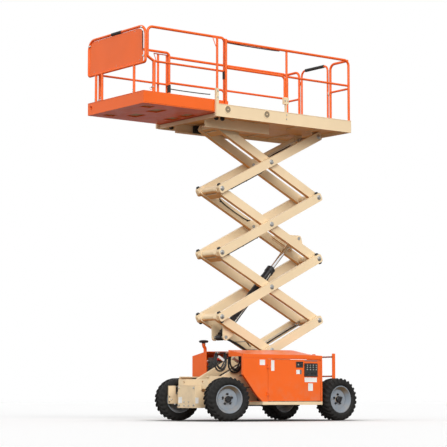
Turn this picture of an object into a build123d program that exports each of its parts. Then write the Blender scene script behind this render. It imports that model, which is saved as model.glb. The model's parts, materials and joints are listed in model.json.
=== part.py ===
from build123d import *
import os
from math import cos, hypot, radians, sin

# Scissor lift with four levels, partly raised, roll-out deck extended, front wheels
# turned a little to the right. Millimetres; X forward, Y to the machine's left, Z up
# from the floor. X is measured from halfway between the axles while modelling, and
# every piece is shifted at export so that the origin lies under the middle of the box.

# ---- wheels and axles
WHEELBASE = 2200
TRACK = 1420
TYRE_RADIUS = 340
TYRE_WIDTH = 304
RIM_RADIUS = 205
RIM_WIDTH = 240
HUB_RADIUS = 50
STEER_REST = -15            # degrees about +Z, the front wheels at rest
KINGPIN_INSET = 160         # kingpin axis inboard of the wheel's middle plane
KINGPIN_RADIUS = 24
AXLE_TUBE_RADIUS = 62
AXLE_TOP_Z = 454
AXLE_BOX = (130, 227, 557)    # front housing: reach ahead of the chassis, half width, top

# ---- scissor stack
LEVELS = 4
ARM_PITCH = 2268            # pin to pin along an arm
ARM_ANGLE = 26.7            # degrees from level at rest
ARM_DEPTH = 140
ARM_WIDTH = 60              # outer arms
INNER_ARM_WIDTH = 76
ARM_REACH = 62              # arm past its end pin
ARM_CORNER = 41
REAR_PIN_X = -1110
BASE_PIN_Z = 617
OUTER_FACE_Y = 306.5
ARM_SIDE_GAP = 6.5          # between an outer and an inner arm
PIN_RADIUS = 28
PIN_GAP = 0.3
PIN_HEAD = 5
CROSS_TUBE_RADIUS = 54
CROSS_BOX = (120, 96)       # along the arm, across it
CYLINDER_FOOT = (1956, -195)   # on the level 1 inner arms: along, above
CYLINDER_HEAD = (423, 151)     # on the level 3 inner arms: along, above
EAR_RADIUS = 52
EAR_THICK = 24
EAR_SET = 8                 # ear plates inboard of the arms' inner faces
EAR_FOOT = {1: (125, 125), -1: (150, 300)}  # an ear's weld behind and ahead of its pin; below, above the arm
OPEN_GAP = 5                # between the rod's pin and the ears it is meant for

# ---- lift cylinder
BARREL_RADIUS = 66
BARREL_LENGTH = 1560
ROD_RADIUS = 36
ROD_INSIDE = 1440           # rod's length from the head pin to its end inside the barrel
EYE_RADIUS = 50
EYE_WIDTH = 120

# ---- slide tracks under the platform and in the chassis
BLOCK_LENGTH = 150
BLOCK_HALF = 60
TRACK_GAP = 8
TRACK_WALL = 14
TRACK_IN_Y = 320
TRACK_OUT_Y = 402

# ---- chassis
BEAM_IN_Y = 330
BEAM_OUT_Y = 396
NOSE_OUT_Y = 390            # narrower over the steered wheels
BEAM_LOW_Z = 300
BEAM_HIGH_Z = 520
CHASSIS_REAR_X = -WHEELBASE / 2 - 270
HOOD_OUT_Y = 800
HOOD_IN_Y = 425
HOOD_REAR_X = -WHEELBASE / 2 + 365
HOOD_FRONT_X = {1: WHEELBASE / 2 - 215, -1: WHEELBASE / 2 - 420}    # left, right
HOOD_ARCH = (WHEELBASE / 2 - 480, WHEELBASE / 2 - 600)     # cut back round the turning wheel, at two heights
HOOD_WALL = 12
HOOD_EDGE_Z = 1036          # outer edge of the canted lid
HOOD_PEAK_Z = 1127          # crown of its inner edge
HOOD_SEAM_Z = 980
AIR_INTAKE = (600, -560)
CAP_LOW_Z = 1242
SILL_LOW_Z = 252
SILL_HIGH_Z = 304
DOOR_SEAM_X = WHEELBASE / 2 - 708
DOOR_TOP_Z = 972
DOOR_THICK = 26
DOOR_GAP = 6
LADDER_X = -1459
LADDER_Y = (-250, 250)
STILE_DEPTH = 64
TIE_BORE = 20               # radius of the tie-down holes in the end plates
TIE_PLATE = {1: 22, -1: 12}         # front, rear
TIE_PLACE = {1: (243, 604), -1: (285, 400)}

# ---- platform
DECK_FRONT_X = REAR_PIN_X + ARM_PITCH + 213
DECK_REAR_X = -1384
DECK_HALF_Y = 813
DECK_LIP = 30               # lip of the deck above the top pins
DECK_SIDE = 197             # height of the deck's side wall
DECK_WALL = 36
FLOOR_THICK = 10
TREAD_THICK = 3
RAIL_RADIUS = 21
RAIL_TOP = 1230             # top rail above the lip
RAIL_MID = 784
SOCKET_X = DECK_FRONT_X + 22        # the front socket's post
RAIL_Y = 795
POST_X = (DECK_FRONT_X - 153, -14, -1350)
POST_PAIR = 41              # the middle post and the leg of the mid rail beside it
SOCKET_TOP = 440            # socket tops above the lip

GATE_Y = (-430, 300)
GATE_RADIUS = 17
GATE_GRIP = (-300, 180)
HINGE_HALF = 22

# ---- roll-out deck
EXT_FRONT_X = DECK_FRONT_X + 1400
EXT_REAR_X = DECK_FRONT_X - 221
EXT_HALF_Y = 765
EXT_GAP = 8                 # the roll-out deck above the main floor
EXT_SIDE = 195
EXT_WALL = 30
EXT_RAIL_RISE = 55          # extension top rail above the main top rail
EXT_OPENINGS = (            # in the bottom plate: from, to (behind its front), and across on each side
    (150, 350, (430, 590)),
    (480, 690, (130, 420)),
    (1140, 1330, (60, 330)))
EXT_RAIL_Y = 738
EXT_RAIL_MID = 736
EXT_POST_SET = 211          # stout front posts of the roll-out rails, behind its front
GUARD_HALF_Y = 780
GUARD_Z = (700, 1266)       # lower and upper tube above the lip
GUARD_POSTS = (-571, -401, 478)

# ---- worked out
LEVEL_HEIGHT = ARM_PITCH * sin(radians(ARM_ANGLE))
SPAN = ARM_PITCH * cos(radians(ARM_ANGLE))
FRONT_PIN_X = REAR_PIN_X + SPAN
TOP_PIN_Z = BASE_PIN_Z + LEVELS * LEVEL_HEIGHT
INNER_FACE_Y = OUTER_FACE_Y - ARM_WIDTH - ARM_SIDE_GAP
INNER_BACK_Y = INNER_FACE_Y - INNER_ARM_WIDTH
EAR_FACE_Y = INNER_BACK_Y - EAR_SET
TRACK_FRONT_X = REAR_PIN_X + ARM_PITCH + BLOCK_LENGTH / 2 + 2
CHASSIS_FRONT_X = TRACK_FRONT_X + TIE_PLATE[1]
LIP_Z = TOP_PIN_Z + DECK_LIP
TRACK_HALF = BLOCK_HALF + TRACK_GAP + TRACK_WALL
FLOOR_LOW_Z = TOP_PIN_Z + TRACK_HALF
FLOOR_Z = FLOOR_LOW_Z + FLOOR_THICK
KINGPIN_Y = TRACK / 2 - KINGPIN_INSET
GATE_HINGE_Z = (LIP_Z + 320, LIP_Z + 1000)
DOOR_HINGE_Y = HOOD_OUT_Y + 13
DOOR_HINGE_Z = (SILL_HIGH_Z + 120, DOOR_TOP_Z - 120)
CENTRE_X = (EXT_FRONT_X + LADDER_X - STILE_DEPTH / 2) / 2


# ------------------------------------------------------------------ helpers
def block(x0, x1, y0, y1, z0, z1):
    """A box between two corners."""
    return Pos((x0 + x1) / 2, (y0 + y1) / 2, (z0 + z1) / 2) * Box(x1 - x0, y1 - y0, z1 - z0)


def bar(start, end, radius):
    """A round bar between two points."""
    start, end = Vector(*start), Vector(*end)
    low = (Align.CENTER, Align.CENTER, Align.MIN)
    return Plane(origin=start, z_dir=end - start) * Cylinder(radius, (end - start).length, align=low)


def cross_bar(x, z, y0, y1, radius):
    """A round bar along Y."""
    return bar((x, y0, z), (x, y1, z), radius)


def side_prism(sketch, y0, y1):
    """A sketch drawn in X and Z, between two values of Y."""
    plane = Plane(origin=(0, y1, 0), x_dir=(1, 0, 0), z_dir=(0, -1, 0))
    return extrude(plane * sketch, amount=y1 - y0)


def front_prism(sketch, x0, x1):
    """A sketch drawn in Y and Z, between two values of X."""
    plane = Plane(origin=(x0, 0, 0), x_dir=(0, 1, 0), z_dir=(1, 0, 0))
    return extrude(plane * sketch, amount=x1 - x0)


def polygon(*points):
    return make_face(Polyline(*points, close=True))


def hull_of(*discs):
    """The outline stretched round discs given as (x, y, radius)."""
    edges = []
    for x, y, radius in discs:
        edges += (Pos(x, y) * Circle(radius)).edges()
    return make_hull(edges)


def bent_tube(points, radius, bends):
    """A round tube along straight runs joined by arcs, one bend radius for each corner."""
    path = FilletPolyline(*points, radius=bends)
    return sweep(Plane(origin=path @ 0, z_dir=path % 0) * Circle(radius), path=path)


def both_sides(shape):
    """The piece and its mirror image on the other side of the machine."""
    return [shape, mirror(shape, about=Plane.XZ)]


def save(name, *solids):
    """Writes one node, shifted to the object's origin."""
    pieces = [Pos(-CENTRE_X, 0, 0) * solid for solid in solids]
    shape = pieces[0] if len(pieces) == 1 else Compound(children=pieces)
    export_step(shape, "parts/" + name + ".step")


# ------------------------------------------------------------------ scissor places
def rear_pin(row):
    return REAR_PIN_X, BASE_PIN_Z + row * LEVEL_HEIGHT


def front_pin(row):
    return FRONT_PIN_X, BASE_PIN_Z + row * LEVEL_HEIGHT


def middle_pin(level):
    return REAR_PIN_X + SPAN / 2, BASE_PIN_Z + (level - 0.5) * LEVEL_HEIGHT


def on_inner(level, along, above):
    """A point on a level's inner arms, from their rear pin."""
    x, z = rear_pin(level - 1)
    turn = radians(ARM_ANGLE)
    return x + along * cos(turn) - above * sin(turn), z + along * sin(turn) + above * cos(turn)


def arm_outline(x, z, angle):
    """An arm's side outline from its lower pin, tilted to the given angle."""
    length = ARM_PITCH + 2 * ARM_REACH
    outline = Pos(ARM_PITCH / 2, 0) * RectangleRounded(length, ARM_DEPTH, ARM_CORNER)
    return Pos(x, z) * Rot(0, 0, angle) * outline


# ------------------------------------------------------------------ scissor pieces
def inner_frame(level):
    """Two arms from the rear pin up to the front pin, welded to cross tubes."""
    y0, y1 = INNER_BACK_Y, INNER_FACE_Y
    arm = side_prism(arm_outline(*rear_pin(level - 1), ARM_ANGLE), y0, y1)
    pieces = both_sides(arm)
    for x, z in (rear_pin(level - 1), front_pin(level)):
        pieces.append(cross_bar(x, z, -y0, y0, CROSS_TUBE_RADIUS))
    if level > 1:               # the lift cylinder passes there on the first level
        pieces.append(cross_box(level, y0))
    spots = {1: [CYLINDER_FOOT], 3: [CYLINDER_HEAD]}.get(level, [])
    for along, above in spots:
        pieces += both_sides(ear_plate(level, along, above))
    frame = Part() + pieces
    bores = [rear_pin(level - 1), front_pin(level), middle_pin(level)]
    for x, z in bores:
        frame -= cross_bar(x, z, -400, 400, PIN_RADIUS + PIN_GAP)
    for along, above in spots:
        x, z = on_inner(level, along, above)
        frame -= cross_bar(x, z, -y0, y0, PIN_RADIUS + PIN_GAP)
    return frame


def cross_box(level, half):
    """The box section that ties the two arms behind their front pin, with four bolt holes."""
    length, depth = CROSS_BOX
    outline = RectangleRounded(length, depth, 12)
    along = ARM_PITCH - CROSS_TUBE_RADIUS - length / 2 - 8
    x, z = on_inner(level, along, 0)
    box = side_prism(Pos(x, z) * Rot(0, 0, ARM_ANGLE) * outline, -half, half)
    room = Pos(x, z) * Rot(0, 0, ARM_ANGLE) * Rectangle(length - 16, depth - 16)
    return box - side_prism(room, 20 - half, half - 20)


def ear_plate(level, along, above):
    """A lug for the cylinder's pin, on a pad that sets it clear of the other levels' arms."""
    side = 1 if above > 0 else -1
    back, ahead = EAR_FOOT[-side]
    root = side * ARM_DEPTH * 0.3
    outline = hull_of((*on_inner(level, along, above), EAR_RADIUS),
                      (*on_inner(level, along - back, root), 12),
                      (*on_inner(level, along + ahead, root), 12))
    pad = Pos(*on_inner(level, along + (ahead - back) / 2, side * ARM_DEPTH / 4)) * Rot(0, 0, ARM_ANGLE)
    pad *= Rectangle(back + ahead, ARM_DEPTH * 0.4)
    lug = side_prism(outline, EAR_FACE_Y - EAR_THICK, EAR_FACE_Y)
    return lug + side_prism(pad, EAR_FACE_Y, EAR_FACE_Y + EAR_SET)


def outer_arms(level):
    """Two arms from the front pin up to the rear pin."""
    y0, y1 = OUTER_FACE_Y - ARM_WIDTH, OUTER_FACE_Y
    arm = side_prism(arm_outline(*front_pin(level - 1), 180 - ARM_ANGLE), y0, y1)
    for x, z in (front_pin(level - 1), middle_pin(level), rear_pin(level)):
        arm -= cross_bar(x, z, y0 - 1, y1 + 1, PIN_RADIUS + PIN_GAP)
    return both_sides(arm)


def level_pins(level):
    """Through pins at the outer arms' ends and a stub pin at each crossing."""
    reach = OUTER_FACE_Y + PIN_HEAD
    pins = [cross_bar(*rear_pin(level), -reach, reach, PIN_RADIUS)]
    if level > 1:
        pins.append(cross_bar(*front_pin(level - 1), -reach, reach, PIN_RADIUS))
    stub = cross_bar(*middle_pin(level), INNER_BACK_Y - PIN_HEAD, reach, PIN_RADIUS)
    return pins + both_sides(stub)


def slide_blocks(x, z, arm_face):
    """Wear blocks on stub axles, which run in the tracks."""
    outline = Pos(x, z) * RectangleRounded(BLOCK_LENGTH, 2 * BLOCK_HALF, 16)
    pad = side_prism(outline, TRACK_IN_Y + 4, TRACK_OUT_Y - TRACK_WALL - 6)
    axle = cross_bar(x, z, arm_face, TRACK_IN_Y + 8, PIN_RADIUS)
    return both_sides(pad + axle)


def track_channel(x0, x1, z):
    """A channel, open towards the middle, in which a slide block runs."""
    outer = block(x0, x1, TRACK_IN_Y, TRACK_OUT_Y, z - TRACK_HALF, z + TRACK_HALF)
    inside = TRACK_HALF - TRACK_WALL
    room = block(x0 - 1, x1 + 1, TRACK_IN_Y - 1, TRACK_OUT_Y - TRACK_WALL, z - inside, z + inside)
    return outer - room


def deck_track():
    """The deck's left track as separate plates: its web, and the flanges welded to the web."""
    x0, x1, z, inside = 30, DECK_FRONT_X - DECK_WALL - 1, TOP_PIN_Z, TRACK_HALF - TRACK_WALL
    web = block(x0, x1, TRACK_OUT_Y - TRACK_WALL, TRACK_OUT_Y, z - TRACK_HALF, z + TRACK_HALF)
    flanges = [block(x0, x1, TRACK_IN_Y, TRACK_OUT_Y - TRACK_WALL, low, low + TRACK_WALL)
               for low in (z - TRACK_HALF, z + inside)]
    return web, flanges


def cylinder_line():
    foot = on_inner(1, *CYLINDER_FOOT)
    head = on_inner(3, *CYLINDER_HEAD)
    return foot, head


def lift_barrel():
    (x0, z0), (x1, z1) = cylinder_line()
    length = hypot(x1 - x0, z1 - z0)
    ux, uz = (x1 - x0) / length, (z1 - z0) / length
    near, far = 90, BARREL_LENGTH
    body = bar((x0 + ux * 40, 0, z0 + uz * 40), (x0 + ux * far, 0, z0 + uz * far), BARREL_RADIUS)
    gland = bar((x0 + ux * (far - near), 0, z0 + uz * (far - near)),
                (x0 + ux * far, 0, z0 + uz * far), BARREL_RADIUS + 9)
    eye = cross_bar(x0, z0, -EYE_WIDTH / 2, EYE_WIDTH / 2, EYE_RADIUS)
    barrel = body + gland + eye
    barrel -= cross_bar(x0, z0, -EYE_WIDTH, EYE_WIDTH, PIN_RADIUS + PIN_GAP)
    barrel -= bar((x0 + ux * 120, 0, z0 + uz * 120),
                  (x0 + ux * (far + 5), 0, z0 + uz * (far + 5)), ROD_RADIUS + 1)
    return barrel


def lift_rod():
    (x0, z0), (x1, z1) = cylinder_line()
    length = hypot(x1 - x0, z1 - z0)
    ux, uz = (x1 - x0) / length, (z1 - z0) / length
    start = length - ROD_INSIDE
    rod = bar((x0 + ux * start, 0, z0 + uz * start), (x1 - ux * 30, 0, z1 - uz * 30), ROD_RADIUS)
    rod += cross_bar(x1, z1, -EYE_WIDTH / 2, EYE_WIDTH / 2, EYE_RADIUS)
    reach = EAR_FACE_Y - EAR_THICK - OPEN_GAP
    return rod + cross_bar(x1, z1, -reach, reach, PIN_RADIUS)


def barrel_pin():
    """The pin through the barrel's eye and both ears."""
    reach = EAR_FACE_Y + PIN_HEAD
    return cross_bar(*on_inner(1, *CYLINDER_FOOT), -reach, reach, PIN_RADIUS)


def rod_pin():
    """The ends of the rod's pin, held in the ears, apart from the pin's middle in the rod's eye."""
    x, z = on_inner(3, *CYLINDER_HEAD)
    return both_sides(cross_bar(x, z, EAR_FACE_Y - EAR_THICK, EAR_FACE_Y + 3, PIN_RADIUS))


# ------------------------------------------------------------------ wheels
def wheel_place(x, side, steer):
    """Where a wheel's middle lies, and how it is turned. A steered wheel turns on its kingpin."""
    if steer:
        return Pos(x, side * KINGPIN_Y, TYRE_RADIUS) * Rot(0, 0, STEER_REST) * Pos(0, side * KINGPIN_INSET, 0)
    return Pos(x, side * TRACK / 2, TYRE_RADIUS)


def tyre():
    """Drawn as radius and half width, then turned about the axle."""
    r, w, bead = TYRE_RADIUS, TYRE_WIDTH / 2, RIM_RADIUS
    half = [(bead + 0.2, 107.5), (bead + 16, 107.5), (bead + 26, w * 0.9),
            (r - 62, w), (r - 22, w * 0.96), (r, w * 0.76)]
    return revolve(polygon(*half, *[(a, -b) for a, b in reversed(half)]), Axis.Y)


def rim(side):
    """A dished rim with its disc set outboard, five studs' holes and a hub bore."""
    r, w, bore = RIM_RADIUS, RIM_WIDTH / 2, HUB_RADIUS + PIN_GAP
    profile = polygon(
        (r, -w), (r + 14, -w), (r, -w + 12), (r - 24, -w + 56),
        (r - 24, w - 56), (r, w - 12), (r + 14, w), (r, w),
        (r - 38, w - 62), (r - 44, 36), (bore, 40), (bore, 26), (96, 26), (r - 42, 20), (r - 36, -w + 60))
    disc = revolve(profile, Axis.Y)
    for n in range(5):
        turn = radians(72 * n)
        disc -= cross_bar(80 * cos(turn), 80 * sin(turn), 0, 60, 9)
    return disc if side > 0 else mirror(disc, about=Plane.XZ)


def knuckle(side):
    """The steered hub carrier: a kingpin barrel, a flange and the stub that carries the wheel."""
    barrel = bar((0, 0, 235 - TYRE_RADIUS), (0, 0, AXLE_TOP_Z - 29 - TYRE_RADIUS), 46)
    flange = side_prism(Circle(80), 20, 44)
    stub = cross_bar(0, 0, 0, KINGPIN_INSET + 66, HUB_RADIUS)
    arm = block(-170, -20, -34, -6, -70, -45)
    plate = side_prism(polygon((30, -70), (215, -70), (215, 215), (92, 215), (92, 80), (30, 80)), -24, 0)
    body = barrel + flange + stub + arm + plate
    for x, z in ((160, -8), (195, 40), (195, -44)):
        body -= cross_bar(x, z, -30, 10, 13)
    body -= bar((0, 0, -200), (0, 0, 200), KINGPIN_RADIUS + PIN_GAP)
    body = body if side > 0 else mirror(body, about=Plane.XZ)
    return Pos(WHEELBASE / 2, side * KINGPIN_Y, TYRE_RADIUS) * Rot(0, 0, STEER_REST) * body


def front_axle():
    """A deep box beam, with a yoke at each end that holds a kingpin."""
    x = WHEELBASE / 2
    half = 430
    outline = polygon((-half, 255), (half, 255), (half, 400), (230, AXLE_TOP_Z), (-230, AXLE_TOP_Z), (-half, 400))
    beam = front_prism(outline, x - 95, x + 95)
    yokes = []
    for top, low in ((AXLE_TOP_Z, AXLE_TOP_Z - 26), (232, 206)):
        tongue = block(x - 60, x + 60, half - 60, KINGPIN_Y, low, top)
        yokes += both_sides(tongue + Pos(x, KINGPIN_Y, (low + top) / 2) * Cylinder(60, top - low))
    webs = both_sides(block(x - 60, x + 60, half - 60, half + 20, 206, AXLE_TOP_Z))
    reach, wide, top = AXLE_BOX
    front = CHASSIS_FRONT_X + reach
    housing = [block(x + 90, front, -wide, wide, 204, AXLE_TOP_Z - 2),
               block(CHASSIS_FRONT_X + 5, front, -wide, wide, AXLE_TOP_Z - 3, top)]
    pins = both_sides(bar((x, KINGPIN_Y, 206), (x, KINGPIN_Y, AXLE_TOP_Z), KINGPIN_RADIUS))
    return Part() + [beam, *yokes, *webs, *pins, *housing]


def rear_axle():
    """A straight tube between the wheels, flanged where the drive motors bolt on."""
    x = -WHEELBASE / 2
    tube = cross_bar(x, TYRE_RADIUS, -560, 560, AXLE_TUBE_RADIUS)
    flanges = both_sides(cross_bar(x, TYRE_RADIUS, 520, 548, 105))
    stubs = both_sides(cross_bar(x, TYRE_RADIUS, 540, TRACK / 2 + 66, HUB_RADIUS))
    return Part() + [tube, *flanges, *stubs]


# ------------------------------------------------------------------ chassis
def chassis_beams():
    """The two side beams, stepped up over the front axle."""
    rear, front, axle = CHASSIS_REAR_X, TRACK_FRONT_X, WHEELBASE / 2
    step, track = AXLE_TOP_Z + 1, BASE_PIN_Z - TRACK_HALF
    outline = polygon((rear, BEAM_LOW_Z), (axle - 100, BEAM_LOW_Z), (axle - 100, step), (front, step), (front, track),
                      (axle - 140, track), (axle - 140, BEAM_HIGH_Z), (rear, BEAM_HIGH_Z))
    beam = side_prism(outline, BEAM_IN_Y, BEAM_OUT_Y)
    beam -= block(axle - 420, front + 1, NOSE_OUT_Y, BEAM_OUT_Y + 1, 0, 600)
    return both_sides(beam - cross_bar(-axle, TYRE_RADIUS, -500, 500, AXLE_TUBE_RADIUS + PIN_GAP))


def cross_members():
    """What ties the beams: four channels, the saddle on the front axle, and the plates at the ends."""
    rear, axle = CHASSIS_REAR_X, WHEELBASE / 2
    members = [block(x, x + 90, -BEAM_IN_Y, BEAM_IN_Y, BEAM_LOW_Z, BEAM_LOW_Z + 110)
               for x in (rear + 70, rear + 770, rear + 1520, axle - 400)]
    saddle = block(axle - 60, axle + 60, -BEAM_IN_Y, BEAM_IN_Y, AXLE_TOP_Z, AXLE_TOP_Z + 75)
    return [*members, saddle, *end_plates()]


def end_plates():
    """The plates across the beams' ends, with the tie-down holes in them."""
    front = block(TRACK_FRONT_X, CHASSIS_FRONT_X, -NOSE_OUT_Y, NOSE_OUT_Y, AXLE_TOP_Z + 46, 655)
    rear = block(CHASSIS_REAR_X - TIE_PLATE[-1], CHASSIS_REAR_X, -BEAM_OUT_Y, BEAM_OUT_Y, BEAM_LOW_Z, 560)
    for way, plate in ((1, front), (-1, rear)):
        y, z = TIE_PLACE[way]
        for side in (1, -1):
            plate -= Pos(0, side * y, z) * Rot(0, 90, 0) * Cylinder(TIE_BORE, 4000)
        yield plate


def base_lugs():
    x, z = rear_pin(0)
    foot_z = BEAM_HIGH_Z - 74
    outline = hull_of((x, z, 55), (x - 90, foot_z, 5), (x + 120, foot_z, 5))
    plate = side_prism(outline, INNER_FACE_Y + 12, INNER_FACE_Y + 37)
    foot = block(x - 95, x + 125, INNER_FACE_Y + 12, BEAM_IN_Y - PIN_GAP, foot_z - 10, foot_z + 20)
    lug = plate + foot - cross_bar(x, z, 0, 400, PIN_RADIUS + PIN_GAP)
    return both_sides(lug)


def hood_outline(side, crown, inset=0):
    """The hood's side outline at one value of Y: its lid, and a front cut back round the turning wheel."""
    front, rear, low = HOOD_FRONT_X[side] - inset, HOOD_REAR_X + inset, SILL_HIGH_Z
    edge, top = HOOD_EDGE_Z - inset, HOOD_EDGE_Z + crown - inset
    arch, foot = (x - inset for x in HOOD_ARCH)
    lid = ThreePointArc((rear, edge), (rear + 150, edge + crown * 0.66), (rear + 360, top))
    rest = Polyline((rear + 360, top), (front, edge + crown * 0.8), (front, 720), (min(front, arch), 400),
                    (foot, low), (rear, low), (rear, edge))
    return make_face([lid, *rest.edges()])


def hood_body(side, inset, y0, y1):
    """The hood's form between two values of Y: the crown of its lid dies out towards the outer edge."""
    crown = HOOD_PEAK_Z - HOOD_EDGE_Z
    places = [Plane(origin=(0, y, 0), x_dir=(1, 0, 0), z_dir=(0, -1, 0)) for y in (y0, y1)]
    return loft([places[0] * hood_outline(side, crown, inset), places[1] * hood_outline(side, 6, inset)], ruled=True)


def hood(side):
    """A thin cover, open towards the middle and below, its side closed by a door. The left one is open ahead."""
    out, inn, wall = HOOD_OUT_Y, HOOD_IN_Y, HOOD_WALL
    rear, front, foot, low = HOOD_REAR_X, HOOD_FRONT_X[side], HOOD_ARCH[1], SILL_HIGH_Z - 1
    shell = hood_body(side, 0, inn, out) - hood_body(side, wall, inn - 1, out - wall)
    shell -= block(rear + 30, DOOR_SEAM_X, out - wall - 1, out + 1, low, DOOR_TOP_Z)
    shell -= block(rear + wall, foot - 5, inn - 1, out - wall, low, low + wall + 2)
    shell -= block(rear - 1, front + 1, out - 5, out + 1, HOOD_SEAM_Z - 4, HOOD_SEAM_Z + 4)
    if side > 0:
        shell -= block(foot - 1, front + 1, inn - 1, out - wall - 34, low, HOOD_EDGE_Z - 30)
    seam, tab = DOOR_SEAM_X, HINGE_HALF + 8
    shell += [hinge_fixed(seam, DOOR_HINGE_Y, z, (1, 0), 30) for z in DOOR_HINGE_Z]
    shell += [block(seam + 14, seam + 30, out - 1, DOOR_HINGE_Y, z - tab, z + tab) for z in DOOR_HINGE_Z]
    return shell if side > 0 else mirror(shell, about=Plane.XZ)


def hood_door(side):
    """The side door, hinged at its front edge."""
    gap = DOOR_GAP
    door = block(HOOD_REAR_X + 30 + gap, DOOR_SEAM_X - gap, HOOD_OUT_Y - DOOR_THICK, HOOD_OUT_Y,
                 SILL_HIGH_Z + gap, DOOR_TOP_Z - gap)
    door = fillet(door.edges().filter_by(Axis.Z).sort_by(Axis.X)[:2], 8)
    seam, tab = DOOR_SEAM_X, HINGE_HALF
    door += [hinge_sleeve(seam, DOOR_HINGE_Y, z, (-1, 0), 34) for z in DOOR_HINGE_Z]
    door += [block(seam - 34, seam - 14, HOOD_OUT_Y - 1, DOOR_HINGE_Y, z - tab, z + tab) for z in DOOR_HINGE_Z]
    return door if side > 0 else mirror(door, about=Plane.XZ)


def tray(side):
    """The floor and sill under a hood."""
    front = HOOD_ARCH[1]
    floor = block(HOOD_REAR_X, front, BEAM_OUT_Y, HOOD_OUT_Y, SILL_HIGH_Z - 12, SILL_HIGH_Z - 0.5)
    sill = block(HOOD_REAR_X, front, HOOD_OUT_Y - 10, HOOD_OUT_Y, SILL_LOW_Z, SILL_HIGH_Z - 0.5)
    ribs = [block(x, x + 12, BEAM_OUT_Y, HOOD_OUT_Y, SILL_LOW_Z, SILL_HIGH_Z - 1)
            for x in (HOOD_REAR_X, HOOD_REAR_X + 535, front - 12)]
    body = Part() + [floor, sill, *ribs]
    return body if side > 0 else mirror(body, about=Plane.XZ)


def engine():
    x, low = HOOD_REAR_X + 315, SILL_HIGH_Z
    body = block(x, x + 540, -740, -450, 330, 760) + block(x + 90, x + 480, -700, -490, 760, 880)
    feet = [block(x + a, x + a + 60, -720, -470, low, 331) for a in (20, 460)]
    return fillet((Part() + [body, *feet]).edges().filter_by(Axis.Z), 12)


def tanks():
    x, low = HOOD_REAR_X + 85, SILL_HIGH_Z
    return [fillet(block(x, x + 490, 450, 740, low, 800).edges().filter_by(Axis.Z), 40),
            fillet(block(x + 530, x + 1010, 450, 740, low, 700).edges().filter_by(Axis.Z), 40)]


def valve_block():
    """The hydraulic manifolds, on a plate that stands at the right hood's inner side."""
    x, y = HOOD_FRONT_X[-1] - 40, -HOOD_IN_Y + 1
    plate = block(x - 420, x, y, y + 8, 718, 1010) + block(x - 420, x - 60, y, y + 22, 700, 726)
    blocks = [block(x - a, x - a + 120, y + 7, y + 60, 800, 950) for a in (180, 390)]
    spools = [cross_bar(x - a, z, y + 59, y + 84, 20) for a in (148, 92, 358, 302) for z in (840, 910)]
    legs = [block(x - a, x - a + 40, y - 8, y, SILL_HIGH_Z, 800) for a in (400, 200)]
    return Part() + [plate, *blocks, *spools, *legs]


def rear_ladder():
    """Two flat stiles footed on the rear end plate, and the rungs between them."""
    x0, x1 = LADDER_X - STILE_DEPTH / 2, LADDER_X + STILE_DEPTH / 2
    face = CHASSIS_REAR_X - TIE_PLATE[-1]
    outline = polygon((x0, 440), (face, 440), (face, 545), (x1, 600), (x1, 1095), (x0, 1095))
    stiles = [side_prism(outline, y - 5, y + 5) for y in LADDER_Y]
    rungs = [cross_bar(LADDER_X, z, LADDER_Y[0], LADDER_Y[1], 11) for z in (500, 720, 1040)]
    return Part() + [*stiles, *rungs]


def air_intake():
    """The bent pipe, cut to sit on the lid."""
    x, y = AIR_INTAKE
    low, top = HOOD_EDGE_Z + 24, CAP_LOW_Z
    pipe = bent_tube([(x, y, low), (x, y, top - 85), (x + 30, y, top - 40), (x + 30, y, top)], 27, [40, 40])
    return pipe - mirror(hood_body(-1, -PIN_GAP, HOOD_IN_Y, HOOD_OUT_Y), about=Plane.XZ)


def intake_cap():
    profile = polygon((0, 0), (32, 0), (36, 18), (74, 26), (80, 38), (62, 52), (0, 56))
    return Pos(AIR_INTAKE[0] + 30, AIR_INTAKE[1], CAP_LOW_Z) * revolve(Plane.XZ * profile, Axis.Z)


# ------------------------------------------------------------------ platform
def deck():
    """A floor with deep side channels and end beams, and a tread plate laid between the rails' feet."""
    x0, x1, half, wall = DECK_REAR_X, DECK_FRONT_X, DECK_HALF_Y, DECK_WALL
    top = LIP_Z + DECK_SIDE
    floor = block(x0, x1, -half, half, FLOOR_LOW_Z, FLOOR_Z)
    sides = both_sides(block(x0, x1, half - wall, half, LIP_Z, top))
    rear = block(x0, x0 + wall, -half, half, LIP_Z, FLOOR_LOW_Z + 1)
    front = block(x1 - wall, x1, -half, half, LIP_Z, FLOOR_LOW_Z + 1)
    toes = [block(x0, x0 + 12, GATE_Y[1] + 5, half - wall, FLOOR_Z - 1, top),
            block(x0, x0 + 12, -half + wall, GATE_Y[0] - 5, FLOOR_Z - 1, top)]
    inner = EXT_HALF_Y - EXT_WALL
    pads = both_sides(block(x1 - 90, x1 - 6, inner, EXT_HALF_Y, FLOOR_Z - 1, FLOOR_Z + EXT_GAP - PIN_GAP))
    clear = inner - 7
    tread = block(POST_X[2] + 30, EXT_REAR_X - 12, -clear, clear, FLOOR_Z - 1, FLOOR_Z + TREAD_THICK)
    return Part() + [floor, *sides, rear, front, *toes, *pads, tread]


def deck_lugs():
    x, z = rear_pin(LEVELS)
    root = FLOOR_LOW_Z - 5 - PIN_GAP
    outline = hull_of((x, z, 50), (x - 80, root, 5), (x + 80, root, 5))
    face = OUTER_FACE_Y - ARM_WIDTH - 12
    plate = side_prism(outline, face - 25, face) - cross_bar(x, z, 0, 400, PIN_RADIUS + PIN_GAP)
    return both_sides(plate)


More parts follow.
